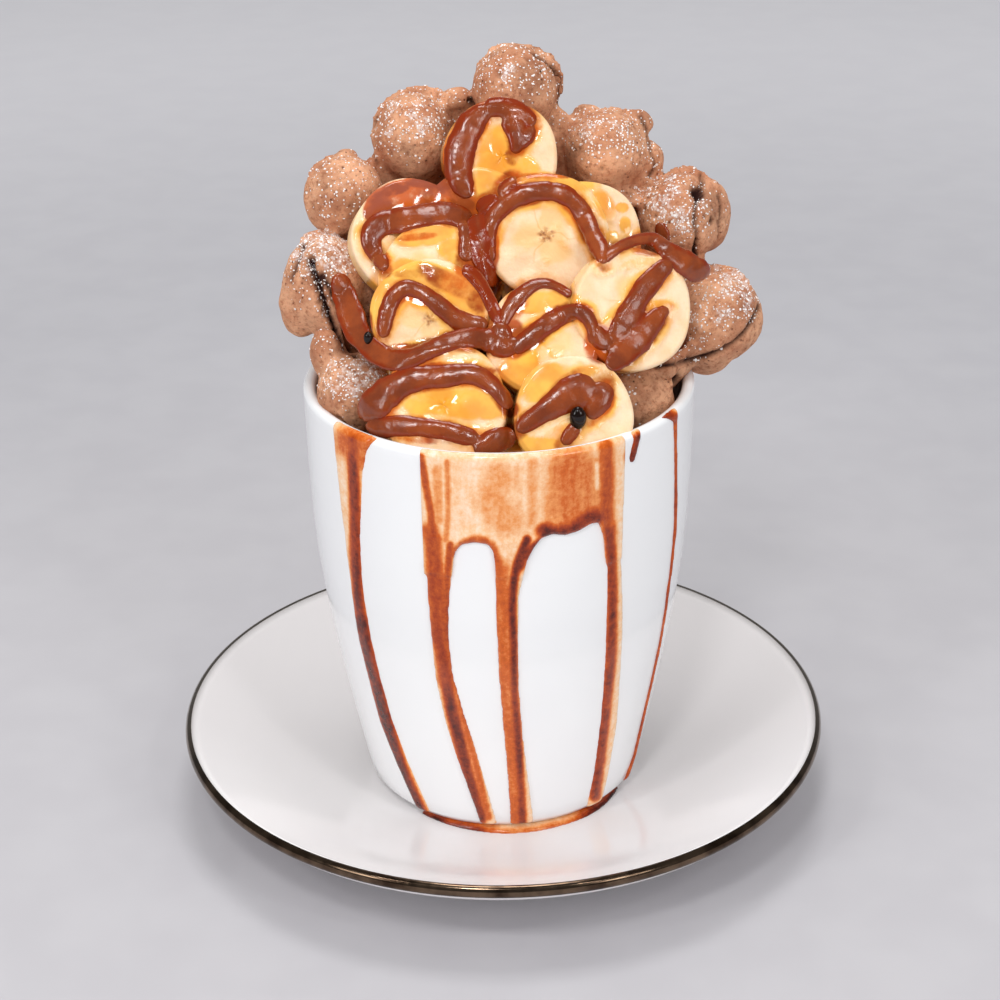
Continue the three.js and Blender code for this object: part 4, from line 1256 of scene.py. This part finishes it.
def lineOutline(line, seed):  # rays through a line's outline, its half widths, middles and mean width
    spots = alongLine(line, pour["step"])
    centre, width = spots[:, :2], np.clip(spots[:, 2], pour["thinnest"], None)
    along = np.gradient(centre, axis=0)
    along /= np.linalg.norm(along, axis=1, keepdims=True)
    aside = np.stack([-along[:, 1], along[:, 0]], 1)
    number = np.arange(len(centre))
    ends = np.minimum(number, number[::-1]) * pour["step"] / (width / 2)
    rounding = np.sqrt(np.clip(1 - (1 - np.clip(ends, 0, 1)) ** 2, 0.03, 1))
    taper = pour["taper"] + (1 - pour["taper"]) * smoothStep(0, 2.6, ends)
    uneven = 1 + unevenAlong(centre, *pour["wave"], seed) + unevenAlong(centre, *pour["ripple"], seed + 3)
    half = (width + pour["softened"]) / 2 * rounding * taper * uneven
    shares = np.linspace(-1, 1, pour["columns"])
    u = centre[:, 0, None] + aside[:, 0, None] * half[:, None] * shares
    v = centre[:, 1, None] + aside[:, 1, None] * half[:, None] * shares
    return pixelRays(u, v), half, centre, width.mean()


def heapDepths(rays):  # how far away the heap lies along each ray
    depth = np.full(rays.shape[:2], np.nan)
    for place in np.ndindex(depth.shape):
        hit = heapTree.ray_cast(Vector(picture["eye"]), Vector(rays[place]))
        if hit[0] is not None:
            depth[place] = hit[3]
    return np.where(np.isnan(depth), np.nanmedian(depth) + pour["gap"], depth)


def lineShape(line, seed):
    rays, half, centre, meanWidth = lineOutline(line, seed)
    shares = np.linspace(-1, 1, pour["columns"])
    steps = (pour["step"] * pour["pixel"], meanWidth / (pour["columns"] - 1) * pour["pixel"])
    depth = evened(bridged(heapDepths(rays), steps, pour["bridge"]), pour["evening"])
    base = picture["eye"] + rays * depth[..., None]
    normal = np.cross(np.gradient(base, axis=0), np.gradient(base, axis=1))
    normal /= np.linalg.norm(normal, axis=2, keepdims=True) + 1e-12
    normal *= -np.sign(np.sum(normal * rays, axis=2, keepdims=True))
    lump = 1 + unevenAlong(centre, *pour["lump"], seed + 7)
    height = pour["proud"] * half * lump * pour["pixel"] + pour["least"]
    crown = (0.06 + 0.94 * (1 - np.abs(shares) ** 2.4) ** 0.8) * height[:, None]
    return gridShell(base + normal * crown[..., None], base + rays * pour["sink"])


def chocolateMaterial(look):
    recipe = Recipe("pouredChocolate", Specular_IOR_Level=0.4, Coat_Weight=0.3, Coat_Roughness=0.03)
    body = recipe.blend(recipe.mottle(120, 4, 0.3, 0.7, rough=0.6), *look["body"])
    edge = recipe.value("edge") + recipe.mottle(300, 3, 0.3, 0.7, -0.2, 0.2, curve="LINEAR")
    body = recipe.blend(recipe.range(edge, 0.6, 1.15), body, look["thin"])
    foam = recipe.range(recipe.cells(1100), 0.02, 0.22, 1.0, 0.0) * recipe.mottle(210, 3, 0.5, 0.62)
    recipe.paint(Base_Color=recipe.blend(foam * 0.4, body, look["foam"]))
    recipe.paint(Roughness=recipe.mottle(340, 3, 0.3, 0.75, 0.06, 0.22))
    recipe.bump(recipe.noise(900, 4, 0.7) + foam * 0.6, 0.3, 0.3 * mm)
    return recipe.material


sauceMaterial = chocolateMaterial(chocolateLook)


def edgeShare(points, lines):  # 0 on the middle of the nearest line, 1 at its edge
    u, v = pixelsOf(points)
    near = [nearLine(line, u, v) for line in lines]
    return np.minimum(1.0, np.min([away / half for away, half in near], axis=0))


def makePouredSauce():
    made = {}
    for number, (node, lines) in enumerate(pouredLines.items()):
        shapes = [lineShape(line, number * 5 + i) for i, line in enumerate(lines)]
        piece = solidRemesh(node + "_poured", shapes, pour["voxel"], pour["rounds"])
        points, normals = pointsOf(piece), normalsOf(piece)
        setValues(piece, "edge", edgeShare(points, lines) + thinlyPoured.get(node, 0.0))
        (slow, slowStep), (quick, quickStep) = pour["lumps"]
        lumps = slow * noiseAt(points, slowStep, number) + quick * noiseAt(points, quickStep, number + 3)
        movePoints(piece, points + normals * lumps[:, None])
        made[node] = finishPiece(piece, sauceMaterial, "waffle", "chocolate_sauce", node)
    return made


pouredSauce = makePouredSauce()
print("poured sauce made")

# Two dark drops: at the rim, and the small one on the long line, by picture pixels
darkBeads = {
    "at": (578, 418),
    "size": 2.0 * mm,
    "out": 0.6,  # how far its middle stands out, by its size
    "smallAt": (368.5, 338),
    "smallSize": 1.15 * mm,
    "smallOut": 0.25,
    "stretch": (1, 0.8, 1.45),
}


def beadMaterial():
    recipe = Recipe("darkBeadGloss", Roughness=0.07, Specular_IOR_Level=0.4)
    recipe.paint(Base_Color=recipe.blend(recipe.mottle(300, 2, 0.3, 0.7), "#0c0504", "#1d0c07"))
    return recipe.material


def makeBeads(beads):
    line = pouredSauce["sauce_long_line"].data
    lineTree = BVHTree.FromPolygons([v.co for v in line.vertices], [p.vertices for p in line.polygons])
    shapes = []
    for tree, pixel, size, out in (
        (heapTree, beads["at"], beads["size"], beads["out"]),
        (lineTree, beads["smallAt"], beads["smallSize"], beads["smallOut"]),
    ):
        centre = castOn(tree, *pixel) - pixelRays(*pixel) * size * out
        shapes.append(ballShape(centre, size, 4, beads["stretch"]))
    piece = addObject("sauce_dark_bead_drops", *joinShapes(shapes))
    finishPiece(outward(piece), beadMaterial(), "waffle", "dark_sauce", "sauce_dark_bead")


makeBeads(darkBeads)

# Sauce run down the tumbler. Turns are in degrees from the front, and heights are shares of the
# tumbler's, down from its crest
runFilm = {
    "film": 0.85 * mm,
    "sink": 0.35 * mm,
    "voxel": 0.42 * mm,
    "rounds": 3,  # of softening
    "crest": 0.004,
    "foot": 0.985,
    "columns": 15,
    "wave": 0.18,  # degrees that an edge wanders
    "roundedEdge": 2.2,  # degrees over which a run's edge rounds off
    "curtain": 0.7,  # the broad upper film, by the drips' thickness
    "side": 0.9,
    "bead": 0.9,  # how much thicker the curtain's lower edge is
    "beadHeight": 1.6 * mm,
    "curtainTurns": (-22.6, 37.2),
    "curtainEdge": 2.0,
}
# The curtain's lower edge as (turn, height), then each drip's edges as (height, turn)
curtainFoot = [
    (-22.5, 0.3), (-14.2, 0.3), (-13.1, 0.237), (-11.0, 0.216), (-7.3, 0.209), (-3.6, 0.213),
    (-2.0, 0.232), (-1.4, 0.3), (6.0, 0.3), (7.0, 0.259), (9.0, 0.227), (11.2, 0.204), (14.4, 0.197),
    (18.2, 0.204), (22.1, 0.2), (25.8, 0.189), (28.4, 0.19), (30.2, 0.227), (31.4, 0.3), (36.6, 0.3),
    (37.4, 0.2),
]
runEdges = {
    "frontLeft": {
        "left": [(0.2, -21.9), (0.256, -21.5), (0.355, -21.9), (0.431, -21.6), (0.565, -21.6),
                 (0.69, -19.8), (0.789, -17.1), (0.877, -14.0), (0.962, -10.9), (0.985, -10.2)],
        "right": [(0.2, -13.0), (0.284, -13.9), (0.346, -15.1), (0.45, -16.1), (0.557, -15.5),
                  (0.653, -13.1), (0.738, -10.4), (0.842, -7.5), (0.959, -3.9), (0.985, -3.0)],
    },
    "frontMiddle": {
        "left": [(0.2, -2.4), (0.279, -1.8), (0.39, -1.7), (0.515, -1.4), (0.662, -0.4), (0.78, 0.8),
                 (0.902, 1.8), (0.965, 2.2), (0.985, 2.0)],
        "right": [(0.2, 9.5), (0.281, 6.4), (0.342, 5.0), (0.443, 4.7), (0.579, 5.1), (0.723, 6.7),
                  (0.845, 9.0), (0.972, 11.8), (0.985, 12.2)],
    },
    "frontRight": {
        "left": [(0.2, 29.4), (0.228, 30.6), (0.317, 32.2), (0.411, 32.6), (0.562, 34.2), (0.721, 36.0),
                 (0.883, 37.1), (0.985, 36.6)],
        "right": [(0.2, 36.2), (0.265, 36.1), (0.395, 38.4), (0.505, 40.1), (0.618, 41.8),
                  (0.769, 44.7), (0.907, 45.6), (0.985, 45.0)],
    },
}
sideRuns = {
    "sauce_run_left": {
        "left": [(0.004, -54.5), (0.05, -54.0), (0.11, -53.5), (0.2, -52.6), (0.266, -51.9),
                 (0.381, -51.3), (0.529, -52.0), (0.637, -50.9), (0.754, -50.1), (0.86, -45.8),
                 (0.985, -39.5)],
        "right": [(0.004, -36.5), (0.04, -39.8), (0.091, -41.9), (0.248, -44.6), (0.365, -45.6),
                  (0.508, -45.3), (0.617, -44.4), (0.731, -42.7), (0.842, -39.2), (0.985, -32.4)],
    },
    "sauce_run_thin": {
        "left": [(0.004, 53.5), (0.012, 55.4), (0.03, 58.6), (0.086, 59.9), (0.298, 62.9),
                 (0.45, 63.0), (0.587, 64.8), (0.789, 65.4), (0.925, 66.5), (0.985, 62.0)],
        "right": [(0.004, 61.8), (0.03, 60.9), (0.086, 61.5), (0.298, 64.8), (0.45, 64.6),
                  (0.587, 66.6), (0.789, 67.6), (0.925, 69.4), (0.985, 66.0)],
    },
    "sauce_run_short": {
        "left": [(0.004, 39.8), (0.02, 40.0), (0.06, 38.6), (0.074, 39.0)],
        "right": [(0.004, 43.6), (0.02, 42.8), (0.06, 41.2), (0.074, 40.4)],
    },
}


def offWall(turnDeg, down, out):  # a point off the tumbler, measured down its outside from the crest
    lip = tumblerShape["wall"] / 2
    reach = np.asarray(down, float) * tumblerHeight
    angle = np.maximum(0, math.pi / 2 - reach / lip)
    straight = np.maximum(0, reach - lip * math.pi / 2)
    height = rimHeight - lip + (lip + out) * np.sin(angle) - straight
    wall = np.where(straight > 0, wallRadius(height), rimRadius)
    radius = wall - lip + (lip + out) * np.cos(angle)
    turn = np.radians(turnDeg)
    return np.stack([radius * np.sin(turn), -radius * np.cos(turn), height], -1)


def filmCrown(margin, film):  # the film's height, rounded off where the margin falls from 1 to 0
    return np.sqrt(np.clip(1 - (1 - np.clip(margin, 0, 1)) ** 2, 0.02, 1)) * film


def filmShell(turns, downs, crown):
    under = np.full(downs.shape, -runFilm["sink"])
    return gridShell(offWall(turns, downs, crown), offWall(turns, downs, under))


def ribbonFilm(edges, film):
    (leftDowns, lefts), (rightDowns, rights) = zip(*edges["left"]), zip(*edges["right"])
    crest, foot = runFilm["crest"], runFilm["foot"]
    downs = np.concatenate([np.linspace(crest, 0.03, 12), np.linspace(0.035, foot, 150)])
    downs = downs[(downs >= leftDowns[0]) & (downs <= leftDowns[-1])]
    left, right = np.interp(downs, leftDowns, lefts), np.interp(downs, rightDowns, rights)
    wave = runFilm["wave"] * noiseOf(downs * 38, left[0], 1.0)
    left, width = left - wave, right - left + 2 * wave
    shares = np.linspace(0, 1, runFilm["columns"])
    turns = left[:, None] + width[:, None] * shares
    margin = np.minimum(shares, 1 - shares) * width[:, None] / runFilm["roundedEdge"]
    return filmShell(turns, np.repeat(downs[:, None], len(shares), 1), filmCrown(margin, film))


def curtainFilm(film):
    turns = np.linspace(*runFilm["curtainTurns"], 130)
    footTurns, foots = zip(*curtainFoot)
    bottoms = np.interp(turns, footTurns, foots)
    shares = np.concatenate([np.linspace(0, 0.12, 9), np.linspace(0.16, 1, 40)])
    downs = runFilm["crest"] + (bottoms[None] - runFilm["crest"]) * shares[:, None]
    grid = np.repeat(turns[None], len(shares), 0)
    sideMargin = np.minimum(turns - turns[0], turns[-1] - turns)[None] / runFilm["curtainEdge"]
    footMargin = (bottoms[None] - downs) * tumblerHeight / runFilm["beadHeight"]
    ridge = 1 + runFilm["bead"] * np.exp(-((footMargin - 1.2) ** 2) / 1.5)
    return filmShell(grid, downs, filmCrown(np.minimum(sideMargin, footMargin), film) * ridge)


# Tones of the run sauce as picture pixels: (line, half width in pixels, tone), where 0 is pale
# caramel, 0.5 orange-brown and 1 the darkest
runTones = [
    ([(352, 440), (355, 508), (356, 561), (361, 626)], 4.2, 0.88),
    ([(361, 620), (373, 673), (389, 731), (405, 778), (423, 817)], 5, 0.95),
    ([(349, 442), (362, 444), (366, 455)], 12, 0.55),
    ([(421, 457), (426, 485), (431, 515), (434, 540)], 2.6, 0.74),
    ([(434, 540), (434, 587), (438, 640)], 5.5, 0.7),
    ([(438, 630), (450, 700), (466, 768), (481, 818)], 4.6, 0.9),
    ([(450, 545), (447, 587), (449, 640)], 2.6, 0.72),
    ([(450, 652), (461, 705), (476, 765), (489, 817)], 2.4, 0.6),
    ([(430, 530), (440, 600), (443, 650), (446, 680)], 6, 0.68),
    ([(447, 462), (448, 500), (446, 540)], 2, 0.46),
    ([(437, 470), (439, 520)], 3.5, 0.4),
    ([(597, 464), (597, 488)], 1.6, 0.05),
    ([(500, 480), (492, 500), (508, 520)], 12, 0.32),
    ([(455, 552), (466, 544), (478, 541), (490, 546), (496, 560)], 4, 0.62),
    ([(527, 540), (517, 566), (512, 600), (513, 639), (514, 691), (518, 744), (522, 822)], 3.2, 0.92),
    ([(500, 570), (503, 640), (507, 700), (512, 760), (516, 820)], 7, 0.56),
    ([(540, 543), (528, 552), (520, 566)], 3.5, 0.85),
    ([(573, 472), (573, 490), (572, 508)], 19, 0.5),
    ([(545, 531), (560, 533), (575, 526), (585, 518), (597, 516)], 6.5, 0.93),
    ([(606, 446), (607, 480), (606, 508), (609, 530)], 5.5, 0.66),
    ([(609, 530), (611, 555), (612, 613), (610, 665), (603, 731), (595, 796)], 4, 0.84),
    ([(533, 464), (533, 520)], 4, 0.3),
    ([(640, 440), (633, 458)], 6, 0.9),
    ([(654, 417), (664, 414), (674, 419)], 5, 0.84),
    ([(675, 420), (675, 447), (674, 530), (667, 590), (660, 639), (644, 711), (633, 757),
      (625, 787)], 4, 0.7),
]


def toneOf(points):  # the tones of the near lines, weighed by how near each is
    bareTone, bareWeight = 0.12, 0.25
    u, v = pixelsOf(points)
    tone = np.full(len(points), bareTone * bareWeight)
    weight = np.full(len(points), bareWeight)
    for line, half, level in runTones:
        away = nearLine([(*place, 1) for place in line], u, v)[0]
        pull = 3.0 * np.exp(-((away / half) ** 2) * 1.4)
        tone += pull * level
        weight += pull
    return np.clip(tone / weight, 0, 1)


# The run sauce's colours by tone
runColours = [
    (0.0, "#fde6cf"),
    (0.16, "#f8c89a"),
    (0.34, "#ec9a58"),
    (0.52, "#d0611a"),
    (0.72, "#a23a0c"),
    (0.88, "#651c08"),
    (1.0, "#2c0b08"),
]


def runMaterial(stops):
    recipe = Recipe("runSauce", Roughness=0.16, Specular_IOR_Level=0.45)
    streaks = recipe.noise(1.0, 4, 0.6, recipe.stretched((420, 420, 40)))
    tone = recipe.value("tone") + recipe.range(streaks, 0.25, 0.75, -0.08, 0.08, "LINEAR")
    tone = tone + recipe.mottle(1000, 3, 0.3, 0.7, -0.06, 0.06, 0.75, "LINEAR")
    tone = tone + recipe.mottle(520, 3, 0.3, 0.7, -0.06, 0.06, 0.6, "LINEAR")
    node = addNode(recipe.tree, "ShaderNodeValToRGB", {"Fac": tone})
    ramp = node.color_ramp.elements
    ramp[0].color = tint(stops[0][1])
    ramp[1].color = tint(stops[-1][1])
    for place, code in stops[1:-1]:
        ramp.new(place).color = tint(code)
    recipe.paint(Base_Color=node.outputs["Color"])
    recipe.bump(recipe.noise(420, 4, 0.6), 0.18, 0.3 * mm)
    return recipe.material


filmMaterial = runMaterial(runColours)


def finishRun(node, shapes):
    piece = solidRemesh(node + "_film", shapes, runFilm["voxel"], runFilm["rounds"])
    setValues(piece, "tone", toneOf(pointsOf(piece)))
    finishPiece(piece, filmMaterial, "tumbler", "run_sauce", node)


def makeRuns():
    film = runFilm["film"]
    drips = [ribbonFilm(edges, film) for edges in runEdges.values()]
    finishRun("sauce_run_front", [curtainFilm(film * runFilm["curtain"])] + drips)
    for node, edges in sideRuns.items():
        finishRun(node, [ribbonFilm(edges, film * runFilm["side"])])


makeRuns()
print("sauce runs made")

# Sauce pooled round the foot; its rows are (turn in degrees, width by the full width)
pool = {
    "inner": 31.9 * mm,
    "width": 4.4 * mm,
    "film": 1.3 * mm,
    "floor": 5 * mm,
    "sink": 0.15 * mm,
    "taperDeg": 4,  # at both ends
    "tone": 0.2,
    "leftTone": 0.4,  # added towards the ends and the outer edge
    "rightTone": 0.5,
    "edgeTone": 0.26,
    "mottle": 0.2,
    "rows": [(-40, 0.5), (-32, 0.62), (-24, 0.72), (-12, 0.85), (0, 0.98), (12, 1.0), (24, 0.95),
             (36, 0.95), (46, 0.85), (56, 0.66), (64, 0.5)],
}


def makePool(shape):
    turns, widths = zip(*shape["rows"])
    fine = np.linspace(turns[0], turns[-1], 120)
    width = np.interp(fine, turns, widths)
    shares = np.linspace(0, 1, 14)
    ends = np.clip(np.minimum(fine - fine[0], fine[-1] - fine) / shape["taperDeg"], 0.02, 1)
    radius = shape["inner"] + shape["width"] * width[:, None] * shares
    crown = shape["film"] * np.sqrt(np.clip(1 - shares**3, 0.02, 1))[None] * np.sqrt(ends)[:, None]
    turn = np.radians(fine)[:, None] + 0 * shares
    flat = np.stack([radius * np.sin(turn), -radius * np.cos(turn)], -1)
    top = np.concatenate([flat, (shape["floor"] + crown)[..., None]], -1)
    under = np.concatenate([flat, np.full(radius.shape + (1,), shape["floor"] - shape["sink"])], -1)
    shell = gridShell(top, under)
    piece = solidRemesh("sauce_pool_foot_film", [shell], runFilm["voxel"], runFilm["rounds"])
    points = pointsOf(piece)
    turned = np.degrees(np.arctan2(points[:, 0], -points[:, 1]))
    full = shape["width"] * np.interp(turned, turns, widths)
    reach = (np.hypot(points[:, 0], points[:, 1]) - shape["inner"]) / full
    tone = shape["tone"] + shape["rightTone"] * smoothStep(24, 44, turned)
    tone += shape["leftTone"] * (1 - smoothStep(-16, 2, turned))
    tone += shape["edgeTone"] * smoothStep(0.6, 1.0, reach)
    tone += shape["mottle"] * np.clip(noiseAt(points, 5 * mm, 4.0), 0, 1)
    setValues(piece, "tone", np.clip(tone, 0, 1))
    finishPiece(piece, filmMaterial, "saucer", "run_sauce", "sauce_pool_foot")


makePool(pool)
print("foot pool made")

# Powdered sugar grains: Geometry Nodes scatter small flakes where the crust's sugar value is high
sugarGrains = {
    "perSquareMetre": 600000.0,
    "grain": 0.2 * mm,
    "seed": 7,
    "thinning": 1.25,  # power of the sugar value that sets how many grains lie there
    "smallest": (0.55, 0.55, 0.35),
    "largest": (1.9, 1.9, 1.2),
}


def sugarMaterial():
    recipe = Recipe("powderedSugar", Roughness=0.7, Specular_IOR_Level=0.4)
    recipe.paint(Base_Color=recipe.blend(recipe.mottle(600, 2, 0.3, 0.7), "#fffdfb", "#ece4e2"))
    return recipe.material


def sugarTree(shape, material):
    tree = bpy.data.node_groups.new("sugarScatter", "GeometryNodeTree")
    kinds = {"Geometry": "Geometry", "Density": "Float", "Grain": "Float", "Seed": "Int"}
    for name, kind in kinds.items():
        tree.interface.new_socket(name, in_out="INPUT", socket_type="NodeSocket" + kind)
    tree.interface.new_socket("Geometry", in_out="OUTPUT", socket_type="NodeSocketGeometry")

    def add(kind, inputs=None, **settings):
        return addNode(tree, kind, inputs, **settings).outputs

    source = add("NodeGroupInput")
    share = add("GeometryNodeInputNamedAttribute", {"Name": "sugar"}, data_type="FLOAT")
    power = add("ShaderNodeMath", {0: share["Attribute"], 1: shape["thinning"]}, operation="POWER")
    density = add("ShaderNodeMath", {0: power[0], 1: source["Density"]}, operation="MULTIPLY")
    inputs = {"Mesh": source["Geometry"], "Density": density[0], "Seed": source["Seed"]}
    scatter = add("GeometryNodeDistributePointsOnFaces", inputs)
    flake = add("GeometryNodeMeshIcoSphere", {"Radius": source["Grain"], "Subdivisions": 1})
    inputs = {"Min": shape["smallest"], "Max": shape["largest"], "Seed": source["Seed"]}
    size = add("FunctionNodeRandomValue", inputs, data_type="FLOAT_VECTOR")
    inputs = {"Points": scatter["Points"], "Rotation": scatter["Rotation"], "Scale": size["Value"]}
    place = add("GeometryNodeInstanceOnPoints", {**inputs, "Instance": flake["Mesh"]})
    real = add("GeometryNodeRealizeInstances", {"Geometry": place["Instances"]})
    paint = add("GeometryNodeSetMaterial", {"Geometry": real["Geometry"], "Material": material})
    add("NodeGroupOutput", {"Geometry": paint["Geometry"]})
    return tree


def makeSugar(shape):
    material = sugarMaterial()
    carrier = placeObject("sugarCarrier", waffleFan.data.copy())
    scatter = carrier.modifiers.new("sugar", "NODES")
    scatter.node_group = sugarTree(shape, material)
    sizes = {"Density": shape["perSquareMetre"], "Grain": shape["grain"], "Seed": shape["seed"]}
    for item in scatter.node_group.interface.items_tree:
        if item.in_out == "INPUT" and item.name in sizes:
            scatter[item.identifier] = sizes[item.name]
    grains = placeObject("powderedSugarGrains", bakedMesh(carrier))
    finishPiece(grains, material, "waffle", "waffle")
    print("sugar grains:", len(grains.data.polygons) // 20)


makeSugar(sugarGrains)

# Floor and light
stageLook = {
    # painted light: the floor's paint grows lighter farther from the middle
    "floorNear": "#bdbbbf",
    "floorMid": "#bbbabf",
    "floorFar": "#d9d8dd",
    "wall": "#c5c4ca",
    "floorSize": 3.0,
    "worldStrength": 0.68,
    "mirrored": 0.16,  # how bright the room looks in gloss, so that the lamps' shine stands out
}


def makeFloor(look):
    size = look["floorSize"]
    corners = [(-size, -size, 0), (size, -size, 0), (size, size, 0), (-size, size, 0)]
    floor = addObject("floorPlain", corners, [(0, 1, 2, 3)])
    recipe = Recipe("floorPaint", Roughness=0.75, Specular_IOR_Level=0.15)
    x, y, _ = recipe.split(recipe.place)
    away = (x * x + y * y) ** 0.5
    # Painted light: lighter paint farther from the middle.
    tone = recipe.blend(recipe.range(away, 0.12, 0.4), look["floorNear"], look["floorMid"])
    tone = recipe.blend(recipe.range(away, 0.35, 0.85), tone, look["floorFar"])
    recipe.paint(Base_Color=recipe.blend(recipe.mottle(40, 2, 0.3, 0.7) * 0.04, tone, "#ffffff"))
    floor.data.materials.append(recipe.material)


def makeWorld(look):
    world = bpy.data.worlds.new("softRoom")
    bpy.context.scene.world = world
    world.use_nodes = True
    tree = world.node_tree
    light = tree.nodes["Background"]
    feed(tree, light.inputs["Color"], "#ffffff")
    feed(tree, light.inputs["Strength"], look["worldStrength"])
    seen = addNode(tree, "ShaderNodeBackground", {"Color": look["wall"], "Strength": 1.0})
    mirrored = addNode(tree, "ShaderNodeBackground", {"Color": "#ffffff", "Strength": look["mirrored"]})
    path = addNode(tree, "ShaderNodeLightPath").outputs
    inputs = {0: path["Is Glossy Ray"], 1: light.outputs[0], 2: mirrored.outputs[0]}
    plain = addNode(tree, "ShaderNodeMixShader", inputs)
    inputs = {0: path["Is Camera Ray"], 1: plain.outputs[0], 2: seen.outputs[0]}
    mix = addNode(tree, "ShaderNodeMixShader", inputs)
    feed(tree, tree.nodes["World Output"].inputs["Surface"], mix.outputs[0])


softboxes = {
    "overheadBox": {"place": (0.0, 0.1, 0.95), "aim": (0, 0, 0.08), "size": 0.3, "power": 2.3},
    "leftBox": {"place": (-0.7, -0.65, 0.45), "aim": (0, 0, 0.1), "size": 0.28, "power": 1.55},
    "rightBox": {"place": (0.6, -0.75, 0.5), "aim": (0, 0, 0.1), "size": 0.28, "power": 1.4},
    "glintLamp": {"place": (-0.12, -0.6, 0.78), "aim": (0, 0, 0.14), "size": 0.12, "power": 1.6},
    "glintRight": {"place": (0.3, -0.5, 0.62), "aim": (0, 0, 0.16), "size": 0.05, "power": 0.35},
    "glintLeft": {"place": (-0.38, -0.4, 0.55), "aim": (0, 0, 0.16), "size": 0.05, "power": 0.35},
}


def makeLamps(boxes):
    for name, box in boxes.items():
        data = bpy.data.lights.new(name, "AREA")
        data.size = box["size"]
        data.energy = box["power"]
        lamp = placeObject(name, data)
        lamp.location = box["place"]
        lamp.rotation_mode = "QUATERNION"
        lamp.rotation_quaternion = (Vector(box["aim"]) - Vector(box["place"])).to_track_quat("-Z", "Y")


makeFloor(stageLook)
makeWorld(stageLook)
makeLamps(softboxes)
bpy.context.scene.view_settings.view_transform = "Standard"
